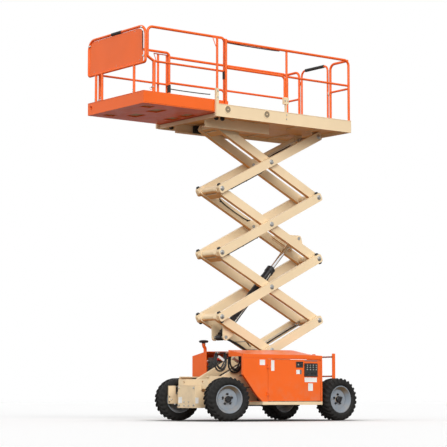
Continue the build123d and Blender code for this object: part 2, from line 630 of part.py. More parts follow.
def side_rails():
    """The top rail, bent down into the rear post, two mid rails, and the bracket that guides the roll-out rail."""
    low, top, mid = LIP_Z + DECK_SIDE, LIP_Z + RAIL_TOP - RAIL_RADIUS, LIP_Z + RAIL_MID
    y, (front, middle, rear) = RAIL_Y, POST_X
    upper = bent_tube([(front - 20, y, top), (rear, y, top), (rear, y, low)], RAIL_RADIUS, [90])
    leg = middle + POST_PAIR
    bent = bent_tube([(front - 19, y, mid), (leg, y, mid), (leg, y, LIP_Z + SOCKET_TOP)], RAIL_RADIUS - 2, [70])
    straight = cross_run(middle - 19, rear + RAIL_RADIUS, y, mid)
    plate = block(front - 20, SOCKET_X + 90, y - 6, y + 6, top + RAIL_RADIUS, top + RAIL_RADIUS + 14)
    brace = bar((SOCKET_X + 84, y, top + RAIL_RADIUS + 2), (SOCKET_X + 25, y, top - 110), 6)
    return [upper, bent, straight, plate + brace]


def cross_run(x0, x1, y, z):
    """A straight mid rail along X."""
    return bar((x0, y, z), (x1, y, z), RAIL_RADIUS - 3)


def side_posts():
    """The posts' feet stand on the deck's side, in the middle socket or in the front one."""
    low, top = LIP_Z + DECK_SIDE, LIP_Z + RAIL_TOP - RAIL_RADIUS
    (front, middle, _), socket = POST_X, LIP_Z + SOCKET_TOP
    return [bar((front, RAIL_Y, low), (front, RAIL_Y, top + RAIL_RADIUS - PIN_GAP), 19),
            bar((middle, RAIL_Y, socket), (middle, RAIL_Y, top - RAIL_RADIUS), 19),
            bar((SOCKET_X, RAIL_Y, socket), (SOCKET_X, RAIL_Y, top + RAIL_RADIUS - PIN_GAP), 19)]


def rail_sockets():
    """The tan sockets: a tall one on the deck's front corner, and the middle one on the deck's side."""
    low, top, face = LIP_Z + DECK_SIDE, LIP_Z + SOCKET_TOP, RAIL_Y - 22
    front = block(DECK_FRONT_X, SOCKET_X + 30, face, DECK_HALF_Y, LIP_Z, top)
    x0, x1 = POST_X[1] - 29, POST_X[1] + POST_PAIR + 29
    head = block(x0, x1, face, DECK_HALF_Y + 6, top - 110, top)
    stem = block(x0 + 42, x1 - 42, face, DECK_HALF_Y + 6, low, top - 109)
    strap = block(x0 + 42, x1 - 42, DECK_HALF_Y, DECK_HALF_Y + 6, LIP_Z + 60, low + 1)
    return [front, head + stem + strap]


def rear_hoops():
    """Bent tubes from the deck's rear up to the corner posts, on each side of the gate."""
    x, top, low = POST_X[2], LIP_Z + RAIL_TOP - RAIL_RADIUS, FLOOR_Z
    hoops = []
    for side, y0 in ((1, GATE_Y[1] + 40), (-1, GATE_Y[0] - 40)):
        y1 = side * (RAIL_Y - RAIL_RADIUS)
        hoop = bent_tube([(x, y0, low), (x, y0, top), (x, y1, top)], RAIL_RADIUS, [100])
        hoops.append(hoop + cross_bar(x, LIP_Z + RAIL_MID - 48, y0, y1, RAIL_RADIUS - 4))
    hoops[1] += [hinge_fixed(x, GATE_Y[0], z, (0, -1), 20) for z in GATE_HINGE_Z]
    return hoops


def hinge_fixed(x, y, z, way, reach):
    """A hinge pin standing between two tabs that reach towards way."""
    tabs = []
    for low in (z - HINGE_HALF - 8, z + HINGE_HALF + PIN_GAP):
        far = (x + way[0] * reach, y + way[1] * reach)
        tab = block(min(x, far[0]) - 8 * abs(way[1]), max(x, far[0]) + 8 * abs(way[1]),
                    min(y, far[1]) - 8 * abs(way[0]), max(y, far[1]) + 8 * abs(way[0]), low, low + 8 - PIN_GAP)
        tabs += [tab, Pos(x, y, low + (8 - PIN_GAP) / 2) * Cylinder(11, 8 - PIN_GAP)]
    pin = bar((x, y, z - HINGE_HALF - 4), (x, y, z + HINGE_HALF + 4), 5)
    return Part() + [pin, *tabs]


def hinge_sleeve(x, y, z, way, reach):
    """The moving half of a hinge: a sleeve on the pin, with a web that reaches towards way."""
    far = (x + way[0] * reach, y + way[1] * reach)
    web = block(min(x, far[0]) - 4 * abs(way[1]), max(x, far[0]) + 4 * abs(way[1]),
                min(y, far[1]) - 4 * abs(way[0]), max(y, far[1]) + 4 * abs(way[0]), z - HINGE_HALF, z + HINGE_HALF)
    sleeve = Pos(x, y, z) * Cylinder(11, 2 * HINGE_HALF) + web
    return sleeve - Pos(x, y, z) * Cylinder(5 + PIN_GAP, 2 * HINGE_HALF + 2)


def gate():
    """A bent tube over the entrance, hinged at its right leg."""
    x, top, low = POST_X[2], LIP_Z + RAIL_TOP - RAIL_RADIUS, LIP_Z + DECK_SIDE - 60
    y0, y1 = GATE_Y[0] + 30, GATE_Y[1] - 30
    hoop = bent_tube([(x, y0, low), (x, y0, top), (x, y1, top), (x, y1, low)], GATE_RADIUS, [90, 90])
    foot = cross_bar(x, low + GATE_RADIUS, y0, y1, 12)
    sleeves = [hinge_sleeve(x, GATE_Y[0], z, (0, 1), 20) for z in GATE_HINGE_Z]
    return Part() + [hoop, foot, *sleeves]


def grip(x, z, y0, y1, tube, radius):
    """A soft sleeve on a rail that runs along Y."""
    return cross_bar(x, z, y0, y1, radius) - cross_bar(x, z, y0 - 1, y1 + 1, tube + PIN_GAP)


# ------------------------------------------------------------------ roll-out deck
def ext_deck():
    """A pan with deep sides; its bottom plate has openings below the floor sheet."""
    x0, x1, half, wall = EXT_REAR_X, EXT_FRONT_X, EXT_HALF_Y, EXT_WALL
    low = FLOOR_Z + EXT_GAP
    top = low + EXT_SIDE
    frame = block(x0, x1, -half, half, low, low + 20)
    for a, b, y in EXT_OPENINGS:
        frame -= both_sides(block(x1 - b, x1 - a, *y, low - 1, low + 21))
    sides = both_sides(block(x0, x1, half - wall, half, low, top))
    front = block(x1 - wall, x1, -half, half, low, top)
    front -= Pos(x1, -670, low + 114) * Rot(0, 90, 0) * Cylinder(28, 3 * wall)
    pads = both_sides(block(x0, x0 + 90, half - wall, half, FLOOR_Z + PIN_GAP, low + 1))
    return Part() + [frame, *sides, front, *pads]


def ext_floor():
    """The pale floor sheet inside the pan."""
    half, low = EXT_HALF_Y - EXT_WALL, FLOOR_Z + EXT_GAP + 20
    return block(EXT_REAR_X, EXT_FRONT_X - EXT_WALL, -half, half, low, low + 8)


def ext_rails():
    """Each side's hoop: its front leg steps back at mid height onto a stout post."""
    low = FLOOR_Z + EXT_GAP + EXT_SIDE
    top = LIP_Z + RAIL_TOP - RAIL_RADIUS + EXT_RAIL_RISE
    y, mid = EXT_RAIL_Y, LIP_Z + EXT_RAIL_MID
    front, post, rear = EXT_FRONT_X - 90, EXT_FRONT_X - EXT_POST_SET, EXT_REAR_X + 60
    rail = bent_tube([(rear, y, low), (rear, y, top), (front, y, top), (front, y, mid + 64), (post, y, mid)],
                     RAIL_RADIUS, [60, 90, 40])
    rail += bar((post, y, low), (post, y, mid + 16), 27)
    return both_sides(rail + bar((rear, y, mid), (post, y, mid), RAIL_RADIUS - 4))


def front_guard():
    """A loop of tube with wide upper corners, on three posts."""
    x, low = EXT_FRONT_X - 25, FLOOR_Z + EXT_GAP + EXT_SIDE
    z0, z1 = (LIP_Z + z for z in GUARD_Z)
    y = GUARD_HALF_Y
    half = bent_tube([(x, 0, z0), (x, y, z0), (x, y, z1), (x, 0, z1)], RAIL_RADIUS, [40, 150])
    posts = [bar((x, y, low), (x, y, z0), RAIL_RADIUS) for y in GUARD_POSTS]
    return Part() + [*both_sides(half), *posts]


def guard_sheet():
    x, edge = EXT_FRONT_X - 25, RAIL_RADIUS + PIN_GAP
    low, high = LIP_Z + GUARD_Z[0] + edge, LIP_Z + GUARD_Z[1] - edge - 5
    sheet = block(x - 3, x + 3, edge - GUARD_HALF_Y, GUARD_HALF_Y - 62, low, high)
    corners = sheet.edges().filter_by(Axis.X).sort_by(Axis.Z)
    return fillet(fillet(corners[-2:], 150 - edge).edges().filter_by(Axis.X).sort_by(Axis.Z)[:2], 24)


def control_box():
    """The operator's box, hung behind the guard's sheet."""
    back = EXT_FRONT_X - 28 - PIN_GAP
    box = fillet(block(back - 150, back - 22, 190, 370, LIP_Z + 800, LIP_Z + 980).edges(), 12)
    return box + block(back - 24, back, 230, 330, LIP_Z + 760, LIP_Z + 1020)


def build():
    os.makedirs("parts", exist_ok=True)
    for level in range(1, LEVELS + 1):
        save("inner_frame_%d" % level, inner_frame(level))
        save("outer_arms_%d" % level, *outer_arms(level))
        save("level_pins_%d" % level, *level_pins(level))
    save("foot_slide_blocks", *slide_blocks(*front_pin(0), OUTER_FACE_Y - ARM_WIDTH + 5))
    save("head_slide_blocks", *slide_blocks(*front_pin(LEVELS), INNER_BACK_Y + 5))
    save("chassis_tracks", *both_sides(track_channel(50, TRACK_FRONT_X, BASE_PIN_Z)))
    web, (low, high) = deck_track()
    save("deck_tracks", *both_sides(web), *deck_lugs())
    save("deck_track_flanges", *both_sides(low), *both_sides(high))
    save("lift_barrel", lift_barrel())
    save("lift_rod", lift_rod())
    save("barrel_pin", barrel_pin())
    save("rod_pin", *rod_pin())
    for end, x, steered in (("front", WHEELBASE / 2, True), ("rear", -WHEELBASE / 2, False)):
        for name, side in (("left", 1), ("right", -1)):
            place = wheel_place(x, side, steered)
            save("%s_%s_tyre" % (end, name), place * tyre())
            save("%s_%s_rim" % (end, name), place * rim(side))
    save("left_knuckle", knuckle(1))
    save("right_knuckle", knuckle(-1))
    save("front_axle", front_axle())
    save("rear_axle", rear_axle())
    save("chassis_beams", *chassis_beams())
    save("cross_members", *cross_members())
    reach = INNER_FACE_Y + 42
    save("base_lugs", *base_lugs(), cross_bar(*rear_pin(0), -reach, reach, PIN_RADIUS))
    for name, side in (("left", 1), ("right", -1)):
        save(name + "_hood", hood(side))
        save(name + "_door", hood_door(side))
    save("hood_trays", tray(1), tray(-1))
    save("engine", engine())
    save("tanks", *tanks())
    save("valve_block", valve_block())
    save("rear_ladder", rear_ladder())
    save("intake_stack", air_intake() + intake_cap())
    save("deck", deck())
    rails, posts = side_rails(), side_posts()
    save("side_rails", *rails, *[mirror(rail, about=Plane.XZ) for rail in rails])
    save("side_posts", *posts, *[mirror(post, about=Plane.XZ) for post in posts])
    sockets = rail_sockets()
    save("rail_sockets", *sockets, *[mirror(socket, about=Plane.XZ) for socket in sockets])
    save("rear_hoops", *rear_hoops())
    save("gate", gate())
    save("gate_grip", grip(POST_X[2], LIP_Z + RAIL_TOP - RAIL_RADIUS, *GATE_GRIP, GATE_RADIUS, 27))
    save("roll_out_deck", ext_deck())
    save("roll_out_floor", ext_floor())
    save("roll_out_rails", *ext_rails())
    save("front_guard", front_guard())
    save("guard_sheet", guard_sheet())
    save("guard_grip", grip(EXT_FRONT_X - 25, LIP_Z + GUARD_Z[1], -133, 143, RAIL_RADIUS, 25))
    save("control_box", control_box())


if __name__ == "__main__":
    build()
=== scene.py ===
import json
from math import cos, pi, radians, sin

import bmesh
import bpy
from mathutils import Matrix, Vector


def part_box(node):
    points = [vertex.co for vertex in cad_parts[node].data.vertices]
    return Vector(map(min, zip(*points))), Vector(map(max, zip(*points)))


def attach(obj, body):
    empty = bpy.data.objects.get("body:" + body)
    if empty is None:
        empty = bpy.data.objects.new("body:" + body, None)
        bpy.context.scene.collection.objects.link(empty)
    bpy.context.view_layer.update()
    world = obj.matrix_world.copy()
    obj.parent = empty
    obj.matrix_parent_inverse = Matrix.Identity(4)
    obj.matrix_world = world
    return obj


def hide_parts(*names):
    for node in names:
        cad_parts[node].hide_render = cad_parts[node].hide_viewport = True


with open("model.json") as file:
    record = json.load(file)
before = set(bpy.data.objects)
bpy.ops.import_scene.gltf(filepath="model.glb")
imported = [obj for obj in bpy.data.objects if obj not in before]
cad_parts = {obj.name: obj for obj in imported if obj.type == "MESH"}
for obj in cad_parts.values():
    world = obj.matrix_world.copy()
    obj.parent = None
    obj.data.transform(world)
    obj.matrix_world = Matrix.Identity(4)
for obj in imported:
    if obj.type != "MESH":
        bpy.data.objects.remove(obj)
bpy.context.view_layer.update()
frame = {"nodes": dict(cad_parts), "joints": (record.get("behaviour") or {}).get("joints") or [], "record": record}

bl_info = {
    "name": "Scissor Lift Dressing",
    "version": (1, 0, 0),
    "blender": (4, 5, 0),
    "location": "View3D > Sidebar > Lift",
    "description": "Finishes and small parts for a rough-terrain scissor lift",
    "category": "Object",
}

X, Y, Z = Vector((1, 0, 0)), Vector((0, 1, 0)), Vector((0, 0, 1))
RAIL_RADIUS = 0.021    # of the guard rails' tubes
LEG_INSET = 0.027    # from the roll-out rails' side to the middle of a leg
HINGE_PROUD = 0.024    # how far the hinges stand out of a hood's face


# ------------------------------------------------------------------ settings
def colour(label, value):
    """A colour setting."""
    return bpy.props.FloatVectorProperty(name=label, description=label + " colour", subtype="COLOR", size=3,
                                         min=0, max=1, default=value)


def size(label, description, value):
    """A length setting, in metres."""
    return bpy.props.FloatProperty(name=label, description=description, default=value, unit="LENGTH",
                                   precision=4)


class LiftPaint(bpy.types.PropertyGroup):
    """Colours of the lift's finishes."""
    tan: colour("Scissor paint", (0.82, 0.64, 0.41))
    orange: colour("Hood paint", (0.86, 0.128, 0.008))
    silver: colour("Rim paint", (0.235, 0.27, 0.31))
    tyre: colour("Tyre rubber", (0.013, 0.0125, 0.012))
    black: colour("Black paint", (0.012, 0.012, 0.014))
    dust: colour("Dust", (0.42, 0.33, 0.24))


class LiftTyre(bpy.types.PropertyGroup):
    """Sizes of the lugged tyres."""
    lug_height: size("Lug height", "How far a lug stands out of the casing", 0.013)
    lug_width: size("Lug width", "Width of a lug's top, along the tread", 0.030)
    lugs: bpy.props.IntProperty(name="Lugs", description="Lugs on each half of the tread", default=26, min=8,
                                max=60)


class LiftStage(bpy.types.PropertyGroup):
    """The camera and the lamps."""
    lens: bpy.props.FloatProperty(name="Lens", description="Focal length in millimetres", default=138.18)
    eye: bpy.props.FloatVectorProperty(name="Camera place", description="Where the camera stands",
                                       subtype="TRANSLATION", unit="LENGTH",
                                       default=(16.7866, 21.7515, 0.3312))
    aim: bpy.props.FloatVectorProperty(name="Camera aim", description="The point in the middle of the view",
                                       subtype="TRANSLATION", unit="LENGTH", default=(0.0147, 0.0, 3.1537))
    key: bpy.props.FloatProperty(name="Key lamp", description="Strength of the main lamp", default=2.35)
    fill: bpy.props.FloatProperty(name="Fill lamp", description="Strength of the side lamp", default=0.95)
    ambient: bpy.props.FloatProperty(name="Ambient", description="Strength of the even light", default=0.56)
    floor_glow: bpy.props.FloatProperty(name="Floor glow", description="How far the floor is lifted to white",
                                        default=0.06)


# ------------------------------------------------------------------ shader groups
def group(name, inputs, outputs):
    """A shader node group with named sockets: (name, kind, default)."""
    tree = bpy.data.node_groups.new(name, "ShaderNodeTree")
    kinds = {"colour": "NodeSocketColor", "value": "NodeSocketFloat", "vector": "NodeSocketVector"}
    for label, kind, default in inputs:
        socket = tree.interface.new_socket(label, in_out="INPUT", socket_type=kinds[kind])
        if default is not None:
            socket.default_value = default
    for label, kind in outputs:
        tree.interface.new_socket(label, in_out="OUTPUT", socket_type=kinds[kind])
    return tree


class Nodes:
    """Places and links nodes in a tree."""

    def __init__(self, tree):
        self.tree, self.column = tree, 0

    def add(self, kind, settings=None, **inputs):
        """A node with its settings and inputs; an underscore stands for a space."""
        node = self.tree.nodes.new("ShaderNode" + kind if not kind.startswith("Node") else kind)
        self.column += 1
        node.location = (self.column * 190, -(self.column % 5) * 150)
        for key, value in (settings or {}).items():
            setattr(node, key, value)
        for key, value in inputs.items():
            self.feed(node, key.replace("_", " "), value)
        return node

    def feed(self, node, socket, value):
        """Links an output to a socket, or sets the socket's own value."""
        target = node.inputs[int(socket)] if str(socket).isdigit() else node.inputs[socket]
        if isinstance(value, bpy.types.NodeSocket):
            self.tree.links.new(value, target)
        elif isinstance(value, (tuple, list)) and len(value) == 3 and target.type == "RGBA":
            target.default_value = (*value, 1)
        else:
            target.default_value = value

    def math(self, operation, a, b=0.5, clamp=False):
        """One sum on two numbers."""
        node = self.add("Math", {"operation": operation, "use_clamp": clamp})
        self.feed(node, 0, a)
        self.feed(node, 1, b)
        return node.outputs[0]

    def noise(self, vector, scale, detail=3.0, rough=0.55):
        """Noise from 0 to 1 at a place."""
        node = self.add("TexNoise", None, Vector=vector, Scale=scale, Detail=detail, Roughness=rough)
        return node.outputs["Fac"]

    def ramp(self, value, low, high, out_low=0.0, out_high=1.0):
        """A smooth step between two numbers."""
        node = self.add("MapRange", {"interpolation_type": "SMOOTHSTEP"})
        for socket, number in zip(range(5), (value, low, high, out_low, out_high)):
            self.feed(node, socket, number)
        return node.outputs[0]

    def mix(self, factor, a, b, blend="MIX"):
        """One colour laid over another."""
        node = self.add("Mix", {"data_type": "RGBA", "blend_type": blend})
        for socket, value in ((0, factor), (6, a), (7, b)):
            self.feed(node, socket, value)
        return node.outputs[2]

    def place(self):
        """The place on the machine, in metres."""
        return self.add("TexCoord").outputs["Object"]


def edge_wear_group():
    """A mask that is 1 on rubbed outer edges, broken up by noise."""
    tree = group("edge_wear", [("Radius", "value", 0.004), ("Scale", "value", 9.0), ("Amount", "value", 0.5)],
                 [("Mask", "value")])
    n = Nodes(tree)
    ins, out = n.add("NodeGroupInput"), n.add("NodeGroupOutput")
    bevel = n.add("Bevel", {"samples": 4}, Radius=ins.outputs["Radius"])
    flat = n.add("NewGeometry").outputs["Normal"]
    dot = n.add("VectorMath", {"operation": "DOT_PRODUCT"})
    n.feed(dot, 0, bevel.outputs["Normal"])
    n.feed(dot, 1, flat)
    edge = n.ramp(dot.outputs["Value"], 0.985, 0.90)
    grain = n.noise(n.place(), ins.outputs["Scale"], 4.0, 0.65)
    chips = n.ramp(grain, 0.50, 0.62)
    mask = n.math("MULTIPLY", n.math("MULTIPLY", edge, chips), ins.outputs["Amount"], True)
    n.feed(out, "Mask", mask)
    return tree


def grime_group():
    """A mask that is high low down on the machine, for dust, and in occluded corners, which some finishes darken
    as painted shade.
    """
    tree = group("grime", [("Corner", "value", 0.35), ("Low", "value", 0.4), ("Top Height", "value", 0.8),
                           ("Scale", "value", 6.0)], [("Mask", "value")])
    n = Nodes(tree)
    ins, out = n.add("NodeGroupInput"), n.add("NodeGroupOutput")
    # Occluded corners: where a finish mixes this mask towards a darker colour, it is painted shade.
    occlusion = n.add("AmbientOcclusion", {"samples": 4}, Distance=0.10)
    corner = n.ramp(occlusion.outputs["AO"], 0.75, 0.25)
    place = n.place()
    height = n.add("SeparateXYZ", None, Vector=place).outputs["Z"]
    low = n.math("SUBTRACT", 1.0, n.math("DIVIDE", height, ins.outputs["Top Height"]), True)
    patches = n.ramp(n.noise(place, ins.outputs["Scale"], 5.0, 0.62), 0.36, 0.72)
    both = n.math("ADD", n.math("MULTIPLY", corner, ins.outputs["Corner"]),
                  n.math("MULTIPLY", low, ins.outputs["Low"]))
    n.feed(out, "Mask", n.math("MULTIPLY", both, patches, True))
    return tree


def paint_group():
    """Sprayed paint: slight unevenness in tone and gloss, and an orange-peel normal."""
    tree = group("sprayed_paint", [("Colour", "colour", (0.8, 0.8, 0.8, 1)), ("Roughness", "value", 0.4),
                                   ("Peel", "value", 0.06), ("Edge Round", "value", 0.003)],
                 [("Colour", "colour"), ("Roughness", "value"), ("Normal", "vector")])
    n = Nodes(tree)
    ins, out = n.add("NodeGroupInput"), n.add("NodeGroupOutput")
    place = n.place()
    broad = n.noise(place, 1.7, 2.0)
    tone = n.add("HueSaturation", None, Color=ins.outputs["Colour"],
                 Value=n.ramp(broad, 0.3, 0.7, 0.965, 1.03))
    n.feed(out, "Colour", tone.outputs[0])
    n.feed(out, "Roughness",
           n.math("ADD", ins.outputs["Roughness"], n.ramp(n.noise(place, 5.0), 0.35, 0.7, -0.04, 0.06)))
    round_edge = n.add("Bevel", {"samples": 4}, Radius=ins.outputs["Edge Round"])
    peel = n.add("Bump", None, Strength=ins.outputs["Peel"], Distance=0.001,
                 Height=n.noise(place, 420.0, 1.0), Normal=round_edge.outputs["Normal"])
    n.feed(out, "Normal", peel.outputs["Normal"])
    return tree


GROUPS = {}


def make_groups():
    """Builds the effects that the materials share."""
    GROUPS.update(wear=edge_wear_group(), grime=grime_group(), paint=paint_group())


# ------------------------------------------------------------------ materials
MATERIALS = {}


def start_material(name):
    """A new material with its node helper and its shader."""
    material = bpy.data.materials.new(name)
    material.use_nodes = True
    n = Nodes(material.node_tree)
    shader = next(node for node in material.node_tree.nodes if node.type == "BSDF_PRINCIPLED")
    MATERIALS[name] = material
    return n, shader


def use_group(n, name, **inputs):
    """Places a shared effect in a material and gives its outputs."""
    node = n.add("Group", {"node_tree": GROUPS[name]})
    for key, value in inputs.items():
        n.feed(node, key.replace("_", " "), value)
    return node.outputs


def painted(name, base, roughness=0.38, metal=(0.30, 0.29, 0.28), wear=0.35, corner=0.22, low=0.35,
            low_top=0.75, coat=0.25, peel=0.05, edge_round=0.003, shade_under=True):
    """Sprayed steel with rubbed edges and dust, painted shade in occluded corners and painted shade on faces that
    look down.
    """
    n, shader = start_material(name)
    paint = use_group(n, "paint", Colour=base, Roughness=roughness, Peel=peel, Edge_Round=edge_round)
    rubbed = use_group(n, "wear", Amount=wear)["Mask"]
    low_and_corner = use_group(n, "grime", Corner=corner, Low=low, Top_Height=low_top)["Mask"]
    # Painted shade: faces that look down are multiplied by a brown (1.0, 0.58, 0.26).
    facing = n.add("SeparateXYZ", None, Vector=n.add("TexCoord").outputs["Normal"]).outputs["Z"]
    under = n.ramp(facing, -0.25, -0.80, 0.0, 1.0 if shade_under else 0.0)
    under_shaded = n.mix(under, paint["Colour"], (1.0, 0.58, 0.26), "MULTIPLY")
    worn = n.mix(rubbed, under_shaded, metal)
    # The dust colour also goes into occluded corners; on the light paints that darkening is painted shade.
    dust = tuple(bpy.context.scene.lift_paint.dust)
    n.feed(shader, "Base Color", n.mix(low_and_corner, worn, dust))
    n.feed(shader, "Roughness", n.math("ADD", paint["Roughness"], n.math("MULTIPLY", low_and_corner, 0.4), True))
    n.feed(shader, "Metallic", n.math("MULTIPLY", rubbed, 0.7))
    n.feed(shader, "Normal", paint["Normal"])
    shader.inputs["Specular IOR Level"].default_value = 0.3
    shader.inputs["Coat Weight"].default_value = coat * 0.3
    shader.inputs["Coat Roughness"].default_value = 0.18
    return MATERIALS[name]


def metal(name, base, roughness, brushed=0.0, corner_shade=0.3):
    """Bare or plated metal with a fine grain, darkened in occluded corners as painted shade and a little darker
    low down.
    """
    n, shader = start_material(name)
    place = n.place()
    grain = n.noise(place, 260.0, 2.0)
    low_and_corner = use_group(n, "grime", Corner=corner_shade, Low=0.1)["Mask"]
    n.feed(shader, "Base Color", n.mix(low_and_corner, base, (0.05, 0.04, 0.03)))
    n.feed(shader, "Roughness", n.math("ADD", n.ramp(grain, 0.3, 0.7, roughness - 0.04, roughness + 0.08),
                                       n.math("MULTIPLY", low_and_corner, 0.4), True))
    bump = n.add("Bump", None, Strength=0.04 + brushed, Distance=0.0006, Height=grain)
    n.feed(shader, "Normal", bump.outputs["Normal"])
    shader.inputs["Metallic"].default_value = 1.0
    return MATERIALS[name]


def moulded(name, base, roughness=0.5, texture=0.12, scale=900.0, dusty_low=0.3, sheen=0.0):
    """Moulded plastic or rubber with a fine texture and a little dust."""
    n, shader = start_material(name)
    place = n.place()
    fine = n.noise(place, scale, 2.0)
    low_and_corner = use_group(n, "grime", Corner=0.25, Low=dusty_low, Top_Height=0.7)["Mask"]
    n.feed(shader, "Base Color", n.mix(low_and_corner, base, tuple(bpy.context.scene.lift_paint.dust)))
    n.feed(shader, "Roughness", n.ramp(fine, 0.3, 0.7, roughness - 0.06, roughness + 0.08))
    bump = n.add("Bump", None, Strength=texture, Distance=0.0008, Height=fine)
    n.feed(shader, "Normal", bump.outputs["Normal"])
    shader.inputs["Sheen Weight"].default_value = sheen
    return MATERIALS[name]


def tyre_rubber(name, base):
    """Tyre rubber: dull black, browner where dust sticks to the flanks and lugs."""
    n, shader = start_material(name)
    place = n.place()
    fine = n.noise(place, 700.0, 3.0)
    dust = n.ramp(n.noise(place, 14.0, 6.0, 0.7), 0.42, 0.85)
    low = use_group(n, "grime", Corner=0.5, Low=0.25, Top_Height=0.5)["Mask"]
    mask = n.math("ADD", n.math("MULTIPLY", dust, 0.08), n.math("MULTIPLY", low, 0.22), True)
    n.feed(shader, "Base Color", n.mix(mask, base, (0.10, 0.083, 0.068)))
    n.feed(shader, "Roughness", n.ramp(fine, 0.3, 0.7, 0.66, 0.82))
    shader.inputs["Specular IOR Level"].default_value = 0.25
    bump = n.add("Bump", None, Strength=0.25, Distance=0.0008, Height=fine)
    n.feed(shader, "Normal", bump.outputs["Normal"])
    return MATERIALS[name]


def make_materials():
    """Builds every finish of the lift."""
    paint = bpy.context.scene.lift_paint
    tan_colour, orange = tuple(paint.tan), tuple(paint.orange)
    painted("tan_paint", tan_colour, 0.42, wear=0.30)
    painted("deck_paint", tan_colour, 0.42, wear=0.30, low=0.0)
    painted("floor_sheet", (0.50, 0.48, 0.45), 0.45, wear=0.2, low=0.0)
    painted("label_grey", (0.16, 0.16, 0.16), 0.5, wear=0.0, corner=0.1, low=0.0, coat=0.0, peel=0.01)
    painted("shadow_tan", tuple(c * 0.32 for c in tan_colour), 0.6, wear=0.0, coat=0.0)
    painted("shadow_orange", tuple(c * 0.30 for c in orange), 0.6, wear=0.0, coat=0.0)
    painted("axle_paint", tuple(c * 0.97 for c in tan_colour), 0.45, wear=0.45, corner=0.4, low=0.6)
    painted("orange_paint", orange, 0.33, wear=0.22, coat=0.4)
    painted("rail_paint", orange, 0.36, wear=0.5, coat=0.3, edge_round=0.001)
    painted("silver_paint", tuple(paint.silver), 0.34, wear=0.25, corner=0.5, low=0.5, low_top=0.6)
    painted("black_paint", tuple(paint.black), 0.32, wear=0.2, low=0.0)
    painted("blank_label", (0.80, 0.80, 0.78), 0.45, wear=0.0, corner=0.1, low=0.1, coat=0.0, peel=0.01)
    metal("pin_steel", (0.42, 0.41, 0.39), 0.36)
    metal("bolt_zinc", (0.55, 0.54, 0.50), 0.32)
    metal("chrome_rod", (0.78, 0.79, 0.81), 0.08, corner_shade=0.1)
    metal("cast_iron", (0.16, 0.155, 0.15), 0.58, 0.2, 0.5)
    metal("brass", (0.72, 0.50, 0.22), 0.3)
    moulded("black_plastic", (0.014, 0.014, 0.015), 0.45)
    moulded("wear_nylon", (0.018, 0.018, 0.018), 0.5, 0.2)
    moulded("hose_rubber", (0.016, 0.016, 0.017), 0.55, 0.25, 500.0)
    moulded("foam", (0.02, 0.02, 0.02), 0.8, 0.5, 380.0)
    moulded("gauge_glass", (0.42, 0.47, 0.50), 0.12, 0.0)
    moulded("red_plastic", (0.6, 0.015, 0.01), 0.3)
    tyre_rubber("tyre_rubber", tuple(paint.tyre))


CAD_FINISH = {"rim_silver": "silver_paint", "engine_metal": "cast_iron"}
NODE_FINISH = {"deck": "deck_paint", "valve_block": "cast_iron",
               **dict.fromkeys(("side_rails", "side_posts", "rear_hoops", "gate", "roll_out_rails",
                                "front_guard", "rear_ladder", "intake_stack"), "rail_paint")}


def paint_cad_nodes():
    """Gives each carried-over part the finish of its material slot."""
    slots = {part["node"]: part["material_slot"] for part in frame["record"]["subparts"]}
    for name, piece in frame["nodes"].items():
        finish = NODE_FINISH.get(name) or CAD_FINISH.get(slots[name], slots[name])
        for material_slot in piece.material_slots:
            material_slot.material = MATERIALS[finish]
        if not piece.material_slots:
            piece.data.materials.append(MATERIALS[finish])


# ------------------------------------------------------------------ mesh tools
def clear_selection():
    """Leaves edit mode and selects nothing."""
    if bpy.context.object and bpy.context.object.mode != "OBJECT":
        bpy.ops.object.mode_set(mode="OBJECT")
    bpy.ops.object.select_all(action="DESELECT")


def pick(*pieces):
    """Selects these pieces alone; the first is active."""
    clear_selection()
    for piece in pieces:
        piece.select_set(True)
    bpy.context.view_layer.objects.active = pieces[0]
    return pieces[0]


def settle(piece):
    """Moves the piece's place, turn and scale into its mesh."""
    pick(piece)
    bpy.ops.object.transform_apply(location=True, rotation=True, scale=True)
    return piece


def modify(piece, kind, **settings):
    """Adds one modifier and applies it."""
    pick(piece)
    bpy.ops.object.modifier_add(type=kind)
    modifier = piece.modifiers[-1]
    for key, value in settings.items():
        setattr(modifier, key, value)
    bpy.ops.object.modifier_apply(modifier=modifier.name)
    return piece


def soften(piece, width, segments=2, angle=30):
    """Bevels the edges that turn by more than an angle, in degrees."""
    return modify(piece, "BEVEL", width=width, segments=segments, limit_method="ANGLE",
                  angle_limit=radians(angle))


def join(pieces, name):
    """Makes several pieces one, with a name."""
    pick(*pieces)
    if len(pieces) > 1:
        bpy.ops.object.join()
    pieces[0].name = name
    pieces[0].data.name = name
    return pieces[0]


def copy_of(piece, matrix):
    """A copy with its own mesh, moved by a matrix."""
    twin = piece.copy()
    twin.data = piece.data.copy()
    bpy.context.scene.collection.objects.link(twin)
    twin.data.transform(matrix)
    if matrix.determinant() < 0:
        twin.data.flip_normals()
    return twin


def finish(piece, name, body, slot, material, angle=35):
    """Names a piece, gives it its finish and lets it ride on its body."""
    piece.name = name
    piece.data.name = name
    pick(piece)
    if material:
        piece.data.materials.clear()
        piece.data.materials.append(MATERIALS[material])
    bpy.ops.object.shade_smooth_by_angle(angle=radians(angle))
    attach(piece, body)
    return piece


def add_block(low, high, bevel=0.0, segments=2):
    """A box between two corners with softened edges."""
    low, high = (Vector([end(pair) for pair in zip(low, high)]) for end in (min, max))
    clear_selection()
    bpy.ops.mesh.primitive_cube_add(size=1, location=(low + high) / 2)
    piece = bpy.context.object
    piece.scale = high - low
    settle(piece)
    if bevel:
        soften(piece, bevel, segments)
    return piece


